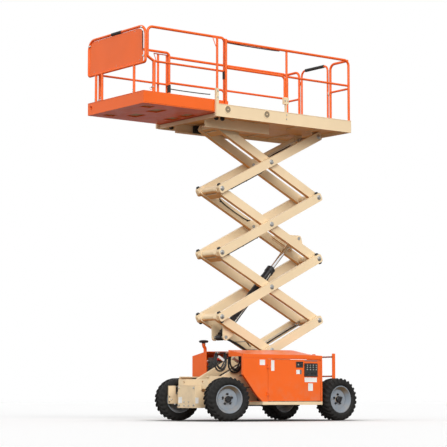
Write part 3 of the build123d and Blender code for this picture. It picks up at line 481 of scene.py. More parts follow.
def add_rod(start, end, radius, sides=20, bevel=0.0, end_radius=None):
    """A round bar or cone between two points, its rims softened."""
    start, end = Vector(start), Vector(end)
    way = end - start
    clear_selection()
    bpy.ops.mesh.primitive_cone_add(vertices=sides, radius1=radius,
                                    radius2=radius if end_radius is None else end_radius, depth=way.length)
    piece = bpy.context.object
    turn = way.to_track_quat("Z", "Y").to_matrix().to_4x4()
    piece.matrix_world = Matrix.Translation((start + end) / 2) @ turn
    settle(piece)
    if bevel:
        soften(piece, bevel, angle=40)
    return piece


def add_hose(points, radius, sides=10):
    """A round hose on one smooth curve near the points, closed at its ends."""
    clear_selection()
    bpy.ops.curve.primitive_nurbs_path_add()
    piece = bpy.context.object
    spline = piece.data.splines[0]
    while len(spline.points) < len(points):
        spline.points.add(1)
    if len(points) < len(spline.points):
        piece.data.splines.remove(spline)
        spline = piece.data.splines.new("NURBS")
        spline.points.add(len(points) - 1)
    for spot, point in zip(spline.points, points):
        spot.co = (*point, 1)
    spline.order_u = 3
    spline.use_endpoint_u = True
    spline.resolution_u = 6
    piece.data.bevel_depth = radius
    piece.data.bevel_resolution = max(1, sides // 4 - 1)
    piece.data.use_fill_caps = True
    bpy.ops.object.convert(target="MESH")
    return bpy.context.object


def add_bolt(spot, way, across, height=None):
    """A hexagon head on a washer, standing on a face."""
    spot, way = Vector(spot), Vector(way).normalized()
    height = height or across * 0.62
    washer = add_rod(spot, spot + way * across * 0.14, across * 0.72, 16)
    head = add_rod(spot + way * across * 0.14, spot + way * (across * 0.14 + height), across * 0.55, 6,
                   across * 0.06)
    return join([washer, head], "bolt")


# ------------------------------------------------------------------ wheels
WHEELS = {"front_left": 1, "front_right": -1, "rear_left": 1, "rear_right": -1}


def wheel_frames():
    """Each wheel's axis frame: its middle, its axle pointing outboard, as a matrix with Y along the axle."""
    frames = {}
    for joint in frame["joints"]:
        name = joint["child"].removesuffix("_wheel")
        if name in WHEELS:
            side = WHEELS[name]
            axle = Vector(joint["axis"]).normalized() * side
            across = axle.cross(Z) * side
            matrix = Matrix((across, axle * side, Z)).transposed().to_4x4()
            frames[name] = Matrix.Translation(Vector(joint["pos_m"])) @ matrix, side
    return frames


def add_ring(profile, steps=40):
    """A ring about the Y axis at the origin, turned from a closed outline of (radius, y)."""
    clear_selection()
    bpy.ops.mesh.primitive_circle_add(vertices=len(profile), radius=1, location=(0, 0, 0))
    piece = bpy.context.object
    for vertex, (radius, y) in zip(piece.data.vertices, profile):
        vertex.co = (radius, y, 0)
    bpy.ops.object.mode_set(mode="EDIT")
    bpy.ops.mesh.select_all(action="SELECT")
    bpy.ops.mesh.spin(steps=steps, angle=2 * pi, center=(0, 0, 0), axis=(0, 1, 0), use_auto_merge=True)
    bpy.ops.mesh.select_all(action="SELECT")
    bpy.ops.mesh.remove_doubles(threshold=0.00005)
    bpy.ops.mesh.normals_make_consistent(inside=False)
    bpy.ops.object.mode_set(mode="OBJECT")
    return piece


def add_band(inner, outer, half, lean, steps):
    """A ring about the Y axis whose flanks lean in by a little."""
    return add_ring([(inner, -half), (outer, lean - half), (outer, half - lean), (inner, half)], steps)


def add_drum(bore, radius, half, cut, steps):
    """A bored drum about the Y axis, its rims cut back by (radius, width)."""
    rise, run = cut
    return add_ring([(bore, -half), (radius - rise, -half), (radius, run - half), (radius, half - run),
                     (radius - rise, half), (bore, half)], steps)


def tyre_casing(outer, half, bead, lug):
    """The tyre's body without its lugs, from bead to bead."""
    crown = outer - lug
    profile = [(bead + 0.002, half * 0.72), (bead + 0.012, half * 0.76), (bead + 0.020, half * 0.86),
               (bead + 0.040, half * 0.955), (bead + 0.052, half * 0.968), (bead + 0.056, half * 0.955),
               (crown - 0.050, half * 0.97), (crown - 0.026, half * 0.93), (crown - 0.010, half * 0.80),
               (crown - 0.003, half * 0.5), (crown, 0.0)]
    mirrored = [(r, -y) for r, y in reversed(profile[:-1])]
    return add_ring(profile + mirrored, 96)


def tyre_lug(outer, half, lug, width):
    """One bar of the tread: it starts near the middle, leans back and runs down over the shoulder."""
    base = outer - lug
    spine = [(0.06, 0.0), (0.30, 0.020), (0.62, 0.052), (0.86, 0.070), (0.99, 0.078), (1.005, 0.082)]
    top = [outer - 0.001, outer, outer, outer - 0.006, outer - 0.034, outer - 0.062]
    low = [base - 0.004, base - 0.004, base - 0.006, base - 0.016, base - 0.044, base - 0.066]
    grow = [0.82, 0.92, 1.0, 1.1, 1.2, 1.15]
    mesh = bmesh.new()
    rings = []
    for (share, back), high, deep, wide in zip(spine, top, low, grow):
        y, w = share * half, width * wide / 2
        ring = []
        for radius, edge in ((deep, -w * 1.25), (high, -w), (high, w), (deep, w * 1.25)):
            angle = (back + edge) / outer
            ring.append(mesh.verts.new((radius * sin(angle), y, radius * cos(angle))))
        rings.append(ring)
    for a, b in zip(rings, rings[1:]):
        for i in range(4):
            j = (i + 1) % 4
            mesh.faces.new((a[i], a[j], b[j], b[i]))
    mesh.faces.new(rings[0][::-1])
    mesh.faces.new(rings[-1])
    bmesh.ops.recalc_face_normals(mesh, faces=mesh.faces)
    data = bpy.data.meshes.new("lug")
    mesh.to_mesh(data)
    piece = bpy.data.objects.new("lug", data)
    bpy.context.scene.collection.objects.link(piece)
    return soften(piece, 0.0022, 1)


class LIFT_OT_tyres(bpy.types.Operator):
    """Makes the four lugged tyres"""
    bl_idname = "lift.tyres"
    bl_label = "Tyres"

    def execute(self, context):
        sizes = context.scene.lift_tyre
        low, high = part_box("rear_left_tyre")
        outer, half = (high.z - low.z) / 2, (high.y - low.y) / 2
        bead = 0.206    # radius where the tyre meets its rim
        casing = tyre_casing(outer, half, bead, sizes.lug_height)
        lug = tyre_lug(outer, half, sizes.lug_height, sizes.lug_width)
        lugs = []
        step = 2 * pi / sizes.lugs
        flip = Matrix.Scale(-1, 4, Y)
        for n in range(sizes.lugs):
            lugs.append(copy_of(lug, Matrix.Rotation(n * step, 4, "Y")))
            lugs.append(copy_of(lug, Matrix.Rotation((n + 0.5) * step, 4, "Y") @ flip))
        bpy.data.objects.remove(lug)
        model = join([casing, *lugs], "tyre")
        for name, (place, side) in wheel_frames().items():
            tyre = copy_of(model, place @ flip if side < 0 else place)
            finish(tyre, name + "_tyre_lugged", name + "_wheel", "tyre_rubber", "tyre_rubber")
            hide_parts(name + "_tyre")
        bpy.data.objects.remove(model)
        return {"FINISHED"}


class LIFT_OT_hubs(bpy.types.Operator):
    """Makes the wheel nuts, hub caps and valves"""
    bl_idname = "lift.hubs"
    bl_label = "Hubs"

    def execute(self, context):
        for name, (place, side) in wheel_frames().items():
            face, circle, count = 0.041 * side, 0.080, 5    # the disc's outer face and its ring of nuts
            out = Y * side
            nuts = []
            for n in range(count):
                turn = 2 * pi * (n + 0.25) / count
                spot = Vector((circle * cos(turn), face, circle * sin(turn)))
                nuts += [add_bolt(spot, out, 0.026, 0.018),
                         add_rod(spot + out * 0.018, spot + out * 0.032, 0.006, 10, 0.001)]
            cap = add_ring([(0.002, 0.0), (0.050, 0.0), (0.0515, 0.004), (0.0500, 0.036), (0.044, 0.041),
                            (0.026, 0.042), (0.024, 0.036), (0.002, 0.036)], 36)
            put(cap, out * 0.052, 0 if side > 0 else 180, "Z")
            hub = join([*nuts, cap], "hub")
            hub.data.transform(place)
            finish(hub, name + "_hub", name + "_wheel", "pin_steel", "black_paint")
            stem = add_rod(Vector((0.150, face + 0.010 * side, 0)), Vector((0.150, face + 0.044 * side, 0)),
                           0.004, 10, 0.001)
            stem.data.transform(place)
            finish(stem, name + "_valve", name + "_wheel", "pin_steel", "brass")
        return {"FINISHED"}


# ------------------------------------------------------------------ places on the machine
def joint_place(name):
    """A joint's place at rest."""
    return next(Vector(joint["pos_m"]) for joint in frame["joints"] if joint["name"] == name)


def rear_pin(row):
    """The rear pin of a row; row 0 is the lowest."""
    return joint_place(("lift", "stack_2", "stack_3", "stack_4", "platform_level")[row])


def front_pin(row):
    """The front pin of a row, above the foot slides."""
    place = rear_pin(row)
    place.x = joint_place("foot_slide_level").x
    return place


def middle_pin(level):
    """The pin where a level's arms cross."""
    return joint_place("cross_%d" % level)


def arm_spot(kind, level, along, above, y):
    """A point on an arm, from its lower pin, with the arm's own two ways: along it and up from it."""
    if kind == "inner":
        start, end = rear_pin(level - 1), front_pin(level)
    else:
        start, end = front_pin(level - 1), rear_pin(level)
    way = (end - start).normalized()
    up = way.cross(Y) if way.x < 0 else Y.cross(way) * -1
    up = up if up.z > 0 else -up
    return start + way * along + up * above + Y * y, way, up


def corner(node, x, y, z):
    """A point in a node's box: 0 is its low side and 1 its high side along each axis."""
    low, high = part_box(node)
    return Vector((low.x + (high.x - low.x) * x, low.y + (high.y - low.y) * y, low.z + (high.z - low.z) * z))


def seat(piece, spot, way, up=Z):
    """Turns and moves a piece modelled at the origin: its X along way, its Z as near up as it can."""
    x = Vector(way).normalized()
    z = (Vector(up) - x * x.dot(up)).normalized()
    piece.data.transform(Matrix.Translation(spot) @ Matrix((x, z.cross(x), z)).transposed().to_4x4())
    return piece


def put(piece, spot, turn=0, axis="X"):
    """Turns a piece about one axis, in degrees, and moves it to its spot."""
    piece.data.transform(Matrix.Translation(spot) @ Matrix.Rotation(radians(turn), 4, axis))
    return piece


def press(piece, way, rim, depth):
    """Sinks or raises a field in the faces that look one way, leaving a rim."""
    pick(piece)
    bpy.ops.object.mode_set(mode="EDIT")
    bpy.ops.mesh.select_mode(type="FACE")
    bpy.ops.mesh.select_all(action="DESELECT")
    mesh = bmesh.from_edit_mesh(piece.data)
    for face in mesh.faces:
        face.select_set(face.normal.dot(Vector(way)) > 0.98)
    bmesh.update_edit_mesh(piece.data)
    bpy.ops.mesh.inset(thickness=rim, depth=0)
    bpy.ops.mesh.inset(thickness=abs(depth) * 0.35, depth=depth)
    bpy.ops.object.mode_set(mode="OBJECT")
    return piece


def add_panel(low, high, way, rim, depth, bevel=0.001):
    """A box with a field sunk (or raised) in one face."""
    return soften(press(add_block(low, high), way, rim, depth), bevel)


def add_label(low, high, way):
    """A thin blank plate with a fine rim."""
    return add_panel(low, high, way, 0.004, -0.0004, 0.0003)


def mirrored(piece):
    """A copy on the machine's other side."""
    return copy_of(piece, Matrix.Scale(-1, 4, Y))


def both(piece):
    """A piece and its copy on the other side."""
    return [piece, mirrored(piece)]


SLOTS = {"bolt_zinc": "pin_steel", "rail_paint": "orange_paint", "cast_iron": "engine_metal",
         **dict.fromkeys(("hose_rubber", "blank_label", "label_grey", "red_plastic", "gauge_glass",
                          "shadow_tan", "shadow_orange"), "black_plastic")}


def make(name, body, material, *parts, slot=None, angle=35):
    """Joins parts to one piece with its finish; the slot, the finish's own or one given, is not used."""
    return finish(join(parts, name), name, body, slot or SLOTS.get(material, material), material, angle)


# ------------------------------------------------------------------ scissor stack
def pin_cap(bolted):
    """A pin's cap at the origin, facing along Y: a washer, a domed cap and its bolt."""
    ring = add_ring([(0.006, 0.0), (0.040, 0.0), (0.040, 0.003), (0.038, 0.004), (0.006, 0.004)], 32)
    dome = add_ring([(0.004, 0.004), (0.030, 0.004), (0.030, 0.007), (0.027, 0.0088), (0.012, 0.009),
                     (0.004, 0.009)], 28)
    core = add_rod(Y * 0.001, Y * 0.0085, 0.008, 14, 0.001)
    parts = [ring, dome, core]
    if bolted:
        parts.append(add_bolt(Y * 0.0085, Y, 0.026, 0.010))
    return join(parts, "cap")


class LIFT_OT_pin_caps(bpy.types.Operator):
    """Puts caps and bolts on the ends of the scissor's pins"""
    bl_idname = "lift.pin_caps"
    bl_label = "Pin caps"

    def execute(self, context):
        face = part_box("outer_arms_1")[1].y + 0.0002
        plain, bolted = pin_cap(False), pin_cap(True)
        for level in range(1, 5):
            places = [(rear_pin(level), bolted), (middle_pin(level), plain)]
            if level > 1:
                places.append((front_pin(level - 1), bolted))
            parts = []
            for place, model in places:
                parts += both(copy_of(model, Matrix.Translation(place + Y * face)))
            make("pin_caps_%d" % level, "outer_%d" % level, "pin_steel", *parts)
        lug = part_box("base_lugs")[1].y
        caps = both(copy_of(bolted, Matrix.Translation(rear_pin(0) + Y * lug)))
        make("base_pin_caps", "chassis", "pin_steel", *caps)
        for model in (plain, bolted):
            bpy.data.objects.remove(model)
        return {"FINISHED"}


def rubber_stop():
    """A moulded stop at the origin: a foot plate, a body that narrows upwards, and a bolt in a well."""
    foot = add_block((-0.030, -0.024, 0.0), (0.030, 0.024, 0.004), 0.001)
    body = add_block((-0.025, -0.021, 0.003), (0.025, 0.021, 0.025))
    for vertex in body.data.vertices:
        if vertex.co.z > 0.02:
            vertex.co.x *= 0.72
            vertex.co.y *= 0.82
    press(body, Z, 0.006, -0.005)
    soften(body, 0.002)
    return join([foot, body, add_bolt((0, 0, 0.019), Z, 0.010, 0.004)], "stop")


class LIFT_OT_arm_stops(bpy.types.Operator):
    """Puts rubber stops on the edges of the outer arms"""
    bl_idname = "lift.arm_stops"
    bl_label = "Arm stops"

    def execute(self, context):
        edge, y = 0.0701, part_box("outer_arms_1")[1].y - 0.030
        length = (rear_pin(1) - front_pin(0)).length
        model = rubber_stop()
        stops = {2: [(-0.013, 1), (-0.020, -1), (length, 1), (length + 0.006, -1)],
                 3: [(-0.013, 1), (length, 1)], 4: [(-0.013, 1)]}
        for level, places in stops.items():
            parts = []
            for along, side in places:
                spot, way, up = arm_spot("outer", level, along, edge * side, y)
                parts += both(seat(copy_of(model, Matrix.Identity(4)), spot, way, up * side))
            make("arm_stops_%d" % level, "outer_%d" % level, "wear_nylon", *parts)
        bpy.data.objects.remove(model)
        return {"FINISHED"}


def clip(spot, way, up, radius, reach):
    """A two-piece hose clip at a point of a hose, with its foot towards up."""
    way, up = Vector(way).normalized(), Vector(up).normalized()
    band = seat(add_band(radius + 0.0005, radius + 0.004, 0.009, 0, 20), Vector(spot), up.cross(way), up)
    foot = seat(add_block((-0.009, -0.012, radius), (0.009, 0.012, reach), 0.002), Vector(spot), way, up)
    return [band, foot]


def hose_end(spot, way, radius):
    """A crimped collar and a hexagon on a hose's end."""
    spot, way = Vector(spot), Vector(way).normalized()
    collar = add_rod(spot - way * 0.030, spot, radius * 1.35, 16, radius * 0.2)
    nut = add_rod(spot - way * 0.001, spot + way * 0.018, radius * 1.5, 6, radius * 0.12)
    return [collar, nut]


def hose_ends(points, radius):
    """The fittings on both ends of a hose."""
    return (hose_end(points[0], points[0] - points[1], radius)
            + hose_end(points[-1], points[-1] - points[-2], radius))


class LIFT_OT_arm_hoses(bpy.types.Operator):
    """Runs the hoses along the scissor's arms"""
    bl_idname = "lift.arm_hoses"
    bl_label = "Arm hoses"

    def execute(self, context):
        long = (rear_pin(1) - front_pin(0)).length
        thick, thin, line = 0.0125, 0.009, 0.008    # radii of the hoses
        inside = -0.146    # across from the middle of the machine, on the right arm's inner face
        for level, start, end in ((1, 0.58 * long, 0.955 * long), (4, 0.64 * long, 0.90 * long)):
            points, hardware = [], []
            for share in (0.0, 0.12, 0.5, 0.88, 1.0):
                drop = -0.012 if share in (0.0, 1.0) else 0.0
                spot, way, up = arm_spot("outer", level, start + (end - start) * share, drop, inside)
                points.append(spot)
            body = "outer_%d" % level
            make("arm_hose_%d" % level, body, "hose_rubber", add_hose(points, thick, 16))
            for share in (0.06, 0.94):
                spot, way, up = arm_spot("outer", level, start + (end - start) * share, -0.003, inside)
                hardware += clip(spot, way, up, thick, 0.024)
            hardware += hose_ends(points, 0.010)
            spot, way, up = arm_spot("outer", level, start, 0.030, inside)
            strap = add_block((0.010, -0.012, -0.004), (long - 0.036 - start, 0.012, 0.004), 0.0015)
            hardware.append(seat(strap, spot, way, up))
            eye = add_band(0.0285, 0.036, 0.012, 0.001, 32)
            hardware.append(put(eye, rear_pin(level) + Y * inside))
            make("arm_hose_clips_%d" % level, body, "bolt_zinc", *hardware)
        face = 0.2765    # the middle of the left arm's edge
        for level, start, end in ((4, 0.06, 0.41), (3, 0.03, 0.37)):
            points = [arm_spot("outer", level, long * (start + (end - start) * s), -0.070 - d, face)[0]
                      for s, d in ((0.0, 0.002), (0.05, 0.013), (0.5, 0.013), (0.95, 0.013), (1.0, 0.002))]
            body = "outer_%d" % level
            make("edge_hose_%d" % level, body, "hose_rubber", add_hose(points, thin, 12))
            held = []
            for share in (0.08, 0.5, 0.92):
                spot, way, up = arm_spot("outer", level, long * (start + (end - start) * share), -0.083, face)
                held += clip(spot, way, up, thin, 0.0128)
            make("edge_hose_clips_%d" % level, body, "black_plastic", *held, slot="wear_nylon")
        points = [arm_spot("inner", 3, long * s, d, -0.151)[0]
                  for s, d in ((0.862, 0.050), (0.855, 0.016), (0.70, 0.002), (0.56, 0.016), (0.553, 0.050))]
        rod = add_hose(points, line, 12)
        ears = [add_block(-Vector((0.012, 0.012, 0.006)), Vector((0.012, 0.0, 0.006)), 0.002)
                for _ in range(2)]
        for ear, share in zip(ears, (0.845, 0.57)):
            spot, way, up = arm_spot("inner", 3, long * share, 0.012, -0.153)
            seat(ear, spot, way, up)
        make("inner_arm_line", "inner_3", "hose_rubber", rod, *ears)
        return {"FINISHED"}


class LIFT_OT_cylinder(bpy.types.Operator):
    """Dresses the lift cylinder: gland, pipe, port blocks and a valve at its foot"""
    bl_idname = "lift.cylinder"
    bl_label = "Cylinder"

    def execute(self, context):
        foot = joint_place("barrel_pivot")
        head = corner("rod_pin", 0.5, 0.5, 0.5)
        way = (head - foot).normalized()
        up = Y.cross(way)
        up = up if up.z > 0 else -up
        end, beside = 1.560, 0.084    # the barrel's length from its foot pin; the pipe's place next to it
        pipe_radius = 0.0075

        def at(along, y=0.0, above=0.0):
            return foot + way * along + Y * y + up * above
        gland = add_ring([(0.0368, 0.0), (0.0668, 0.0), (0.071, 0.006), (0.071, 0.052), (0.067, 0.058),
                          (0.052, 0.060), (0.048, 0.072), (0.0368, 0.072)], 40)
        around = up.cross(way) * -1
        gland = seat(gland, at(end - 0.052), around, up)
        weld = seat(add_ring([(0.0655, 0.0), (0.0740, 0.004), (0.0655, 0.012)], 40), at(0.092), around, up)
        bands = [seat(add_ring([(0.0662, 0.0), (0.0695, 0.001), (0.0695, 0.019), (0.0662, 0.020)], 40), at(a),
                      around, up) for a in (0.42, 0.95, 1.34)]
        port = seat(add_panel((-0.035, -0.022, -0.024), (0.035, 0.022, 0.024), Z, 0.006, -0.002),
                    at(0.20, beside), way, up)
        port_high = seat(add_block((-0.024, -0.018, -0.020), (0.024, 0.018, 0.020), 0.003),
                         at(end - 0.10, 0.082), way, up)
        make("cylinder_gland", "barrel", "black_paint", gland, weld, *bands, port, port_high)
        wiper = seat(add_ring([(0.0366, 0.0), (0.044, 0.0), (0.042, 0.006), (0.0366, 0.008)], 36),
                     at(end + 0.0205), around, up)
        make("rod_wiper", "barrel", "foam", wiper, slot="wear_nylon")
        pipe = add_hose([at(0.235, beside), at(0.27, beside), at(0.32, 0.090), at(0.6, 0.090), at(1.1, 0.090),
                         at(1.36, 0.090), at(1.41, 0.083), at(end - 0.122, 0.083)], pipe_radius, 12)
        nuts = [add_rod(at(a, beside), at(b, beside), 0.013, 6, 0.001)
                for a, b in ((0.232, 0.256), (end - 0.146, end - 0.123))]
        holds = []
        for a in (0.435, 0.965):
            holds += clip(at(a, 0.090), way, -Y, pipe_radius, 0.022)
        make("cylinder_pipe", "barrel", "bolt_zinc", pipe, *nuts, *holds)
        block = seat(add_panel((-0.045, -0.030, -0.030), (0.045, 0.030, 0.030), -Z, 0.008, -0.002, 0.002),
                     at(0.15, 0.0, -0.098), way, up)
        coil = seat(add_drum(0.003, 0.019, 0.030, (0.002, 0.004), 24), at(0.21, 0.0, -0.104), up, way)
        coil_nut = add_rod(at(0.215, -0.040, -0.104), at(0.215, -0.029, -0.104), 0.012, 6, 0.001)
        make("foot_valve", "barrel", "black_plastic", block, coil, coil_nut)
        return {"FINISHED"}


class LIFT_OT_feed_hoses(bpy.types.Operator):
    """Runs the thick hoses under the first level and hangs the looped ones by the left hood"""
    bl_idname = "lift.feed_hoses"
    bl_label = "Feed hoses"

    def execute(self, context):
        line = [arm_spot("inner", 1, along, above, -0.112)[0]
                for along, above in ((1.90, -0.130), (1.82, -0.118), (1.55, -0.085), (1.35, -0.085),
                                     (1.22, -0.100))]
        side = [arm_spot("inner", 1, along, above, 0.128)[0]
                for along, above in ((1.98, -0.040), (1.90, -0.052), (1.74, -0.020), (1.60, -0.040),
                                     (1.45, -0.080))]
        wide, fine = 0.019, 0.010    # radii of the two hoses
        make("foot_hoses", "inner_1", "hose_rubber", add_hose(line, wide, 16), add_hose(side, fine, 12))
        ends = hose_ends(line, wide) + hose_ends(side, fine)
        tie = [add_rod(spot - Y * 0.158, spot + Y * 0.158, 0.007, 12, 0.001)
               for spot in (arm_spot("inner", 1, 1.56, -0.064, 0)[0],
                            arm_spot("inner", 1, 1.30, -0.066, 0)[0])]
        make("foot_hose_ends", "inner_1", "bolt_zinc", *ends, *tie)

        inner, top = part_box("left_hood")[0].y, 1.062
        bar_y = inner - 0.016
        ahead = corner("left_hood", 1, 0, 0).x
        bar = add_rod((ahead - 0.19, bar_y, top), (ahead + 0.235, bar_y, top), 0.011, 16, 0.002)
        feet = [add_block((ahead + x - 0.02, bar_y - 0.003, top - 0.018),
                          (ahead + x + 0.02, inner + 0.002, top + 0.018), 0.003) for x in (-0.17, -0.05)]
        make("hose_bar", "chassis", "black_paint", bar, *feet, slot="black_plastic")
        loops, ends, tags = [], [], []
        for mid, half, low in ((0.350, 0.104, 0.786), (0.003, 0.116, 0.768)):
            mid = max(mid, ahead - 0.3 + half)
            for shift, y in ((0.0, 0.352), (0.034, 0.378), (0.058, 0.354)):
                a, b = mid - half + shift * 0.6, mid + half - shift * 0.4
                deep = low + shift * 0.9
                points = [(b, bar_y - 0.014, top), (b, y + 0.008, top - 0.012), (b + 0.010, y, top - 0.090),
                          (b + 0.012, y, deep + 0.085), (b - 0.040, y, deep + 0.006), (mid, y, deep - 0.012),
                          (a + 0.035, y, deep + 0.010), (a - 0.012, y, deep + 0.095),
                          (a - 0.008, y, top - 0.090), (a, y + 0.008, top - 0.012), (a, bar_y - 0.014, top)]
                loops.append(add_hose(points, 0.0135, 14))
                for x in (a, b):
                    ends += hose_end((x, bar_y - 0.006, top), (0, 1, 0), 0.0105)
            tag = add_block((-0.062, -0.0145, -0.022), (0.062, 0.0145, 0.022), 0.004)
            tags.append(seat(tag, Vector((mid - 0.015, 0.352, low + 0.190)), (0.86, 0, 0.50), Z))
        make("looped_hoses", "chassis", "hose_rubber", *loops)
        make("looped_hose_ends", "chassis", "bolt_zinc", *ends)
        make("hose_ties", "chassis", "blank_label", *tags)
        return {"FINISHED"}


# ------------------------------------------------------------------ chassis fittings
class LIFT_OT_valves(bpy.types.Operator):
    """Adds coils, fittings and hoses to the valve block at the right hood"""
    bl_idname = "lift.valves"
    bl_label = "Valves"

    def execute(self, context):
        low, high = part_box("valve_block")
        face = high.y
        dark, bright, red, hoses = [], [], [], []
        for x in (low.x + 0.100, low.x + 0.156, high.x - 0.108, high.x - 0.052):
            for z in (0.840, 0.910):
                coil = add_drum(0.012, 0.023, 0.016, (0.002, 0.003), 22)
                dark.append(put(coil, (x, face + 0.004, z)))
                dark.append(add_block((x - 0.013, face - 0.010, z + 0.020),
                                      (x + 0.013, face + 0.014, z + 0.044), 0.003))
                bright.append(add_rod((x, face - 0.001, z), (x, face + 0.030, z), 0.009, 6, 0.001))
        for x, z in ((high.x - 0.135, 0.985), (high.x - 0.210, 0.985)):
            red.append(add_rod((x - 0.034, face - 0.030, z), (x + 0.034, face - 0.030, z), 0.020, 20, 0.004))
            bright.append(add_rod((x + 0.034, face - 0.030, z), (x + 0.046, face - 0.030, z), 0.010, 6,
                                  0.001))
        for z in (0.815, 0.865, 0.935):
            dark.append(add_rod((high.x + 0.001, face - 0.045, z), (high.x + 0.034, face - 0.045, z), 0.015,
                                14, 0.002))
        dark.append(add_panel((low.x + 0.01, face - 0.060, 0.955), (low.x + 0.09, face - 0.012, 1.003), Y,
                              0.008, -0.003, 0.002))
        for n, x in enumerate((low.x + 0.06, low.x + 0.14, high.x - 0.16, high.x - 0.08)):
            hoses.append(add_hose([(x, face - 0.035, 0.806), (x, face - 0.033, 0.770),
                                   (x + 0.012, face - 0.042 - n * 0.002, 0.735),
                                   (x + 0.014, face - 0.066, 0.722)], 0.009, 12))
            bright += hose_end((x, face - 0.035, 0.790), (0, 0, 1), 0.009)
        make("valve_coils", "chassis", "black_plastic", *dark)
        make("valve_nuts", "chassis", "bolt_zinc", *bright)
        make("valve_solenoids", "chassis", "red_plastic", *red)
        make("valve_hoses", "chassis", "hose_rubber", *hoses)
        return {"FINISHED"}


def door_latch(x, face, z, side):
    """A paddle latch in a dished plate, on a door's outer face."""
    out = Y * side
    plate = add_block((x - 0.055, face, z - 0.035), (x + 0.055, face + 0.004 * side, z + 0.035))
    press(plate, out, 0.008, -0.0025)
    soften(plate, 0.001)
    paddle = add_block((x - 0.036, face, z - 0.020), (x + 0.030, face + 0.009 * side, z + 0.020), 0.003)
    lock = add_rod(Vector((x + 0.040, face, z)), Vector((x + 0.040, face, z)) + out * 0.007, 0.008, 18, 0.001)
    return [plate, paddle, lock]


class LIFT_OT_hoods(bpy.types.Operator):
    """Fits the ground controls, labels without writing, latches and grilles to the hoods' doors"""
    bl_idname = "lift.hoods"
    bl_label = "Hood fittings"

    def execute(self, context):
        low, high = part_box("left_door")
        face = high.y - HINGE_PROUD
        body = "left_door"

        def tab(x0, x1, z0, z1, thick=0.0012):
            return add_label((x0, face - 0.0005, z0), (x1, face + thick, z1), Y)
        frame_plate = add_panel((-1.269, face - 0.002, 0.700), (-0.992, face + 0.010, 0.912), Y, 0.010,
                                -0.004, 0.002)
        strip = add_panel((-1.269, face - 0.002, 0.944), (-1.000, face + 0.004, 0.958), Y, 0.003, -0.001)
        small = add_panel((-0.966, face - 0.002, 0.842), (-0.822, face + 0.008, 0.936), Y, 0.007, -0.003,
                          0.0015)
        make("ground_panel", body, "black_plastic", frame_plate, small)
        make("panel_strip", body, "label_grey", strip)
        bright = []
        for row, z in enumerate((0.880, 0.845, 0.810)):
            for n in range(4):
                x = -1.240 + n * 0.062
                boss = add_rod((x, face + 0.005, z), (x, face + 0.009, z), 0.011, 18, 0.001)
                lever = add_rod((x, face + 0.008, z),
                                (x, face + 0.022, z + (0.006 if (n + row) % 2 else -0.006)), 0.0032, 10,
                                0.001, 0.0042)
                bright += [boss, lever]
        bits = [bezel((x, face + 0.005, 0.752), 0.020, 0.012) for x in (-1.225, -1.160)]
        meter = bezel((-1.050, face + 0.005, 0.750), 0.030, 0.007)
        window = add_rod((-1.050, face + 0.006, 0.750), (-1.050, face + 0.0085, 0.750), 0.024, 28, 0.001)
        stop = add_rod((-0.925, face + 0.004, 0.888), (-0.925, face + 0.026, 0.888), 0.017, 24, 0.004)
        stem = add_rod((-0.925, face + 0.004, 0.888), (-0.925, face + 0.014, 0.888), 0.011, 20, 0.001)
        key = bezel((-0.868, face + 0.004, 0.888), 0.013, 0.006)
        make("ground_switches", body, "bolt_zinc", *bright, key)
        make("ground_knobs", body, "black_plastic", *bits, meter, stem)
        make("ground_stop", body, "black_plastic", stop)
        make("ground_gauge", body, "gauge_glass", window)
        labels = [tab(-0.900, -0.828, 0.738, 0.806), tab(-1.258, -1.000, 0.612, 0.686),
                  tab(-1.172, -1.074, 0.474, 0.592), tab(-0.378, -0.312, 0.785, 0.952)]
        make("door_labels", body, "blank_label", *labels)
        make("door_label_dark", body, "label_grey", tab(-0.938, -0.902, 0.738, 0.806))
        hood_face = corner("left_hood", 0, 1, 0).y - HINGE_PROUD
        make("hood_label", "chassis", "blank_label",
             add_label((-0.190, hood_face - 0.0005, 0.872), (-0.084, hood_face + 0.0012, 0.956), Y))
        for side, name in ((1, "left"), (-1, "right")):
            outer = face * side
            if side < 0:
                make(name + "_latch", name + "_door", "black_plastic",
                     *door_latch(low.x + 0.10, outer, 0.42, side))
            make(name + "_door_rim", name + "_door", "orange_paint", *door_rim(low, high, outer, side))
        slats = [put(add_block((-0.95, -0.004, -0.011), (-0.55, 0.010, 0.011), 0.002),
                     (0, -face, 0.48 + n * 0.030), -24) for n in range(12)]
        make("engine_grille", "right_door", "orange_paint", *slats)
        return {"FINISHED"}


def bezel(spot, radius, height):
    """A round bezel standing on a face that looks along +Y."""
    ring = add_ring([(0.001, 0.0), (radius, 0.0), (radius, height * 0.7), (radius * 0.92, height),
                     (radius * 0.80, height), (radius * 0.78, height * 0.6), (0.001, height * 0.6)], 28)
    return put(ring, spot)


def door_rim(low, high, outer, side):
    """A folded rim round three of a door's edges, and a bead inside the hinged one."""
    proud, edge, hinge = 0.0015 * side, 0.012, high.x - 0.062
    bars = [add_block((x0 + 0.001, outer, z0 + 0.001), (x1 - 0.001, outer + proud, z1 - 0.001), 0.0006)
            for x0, x1, z0, z1 in ((low.x, hinge, low.z, low.z + edge), (low.x, hinge, high.z - edge, high.z),
                                   (low.x, low.x + edge, low.z, high.z))]
    bead = add_block((low.x + edge, outer, low.z + edge), (low.x + 0.016, outer + proud, high.z - edge),
                     0.0004)
    return [*bars, bead]


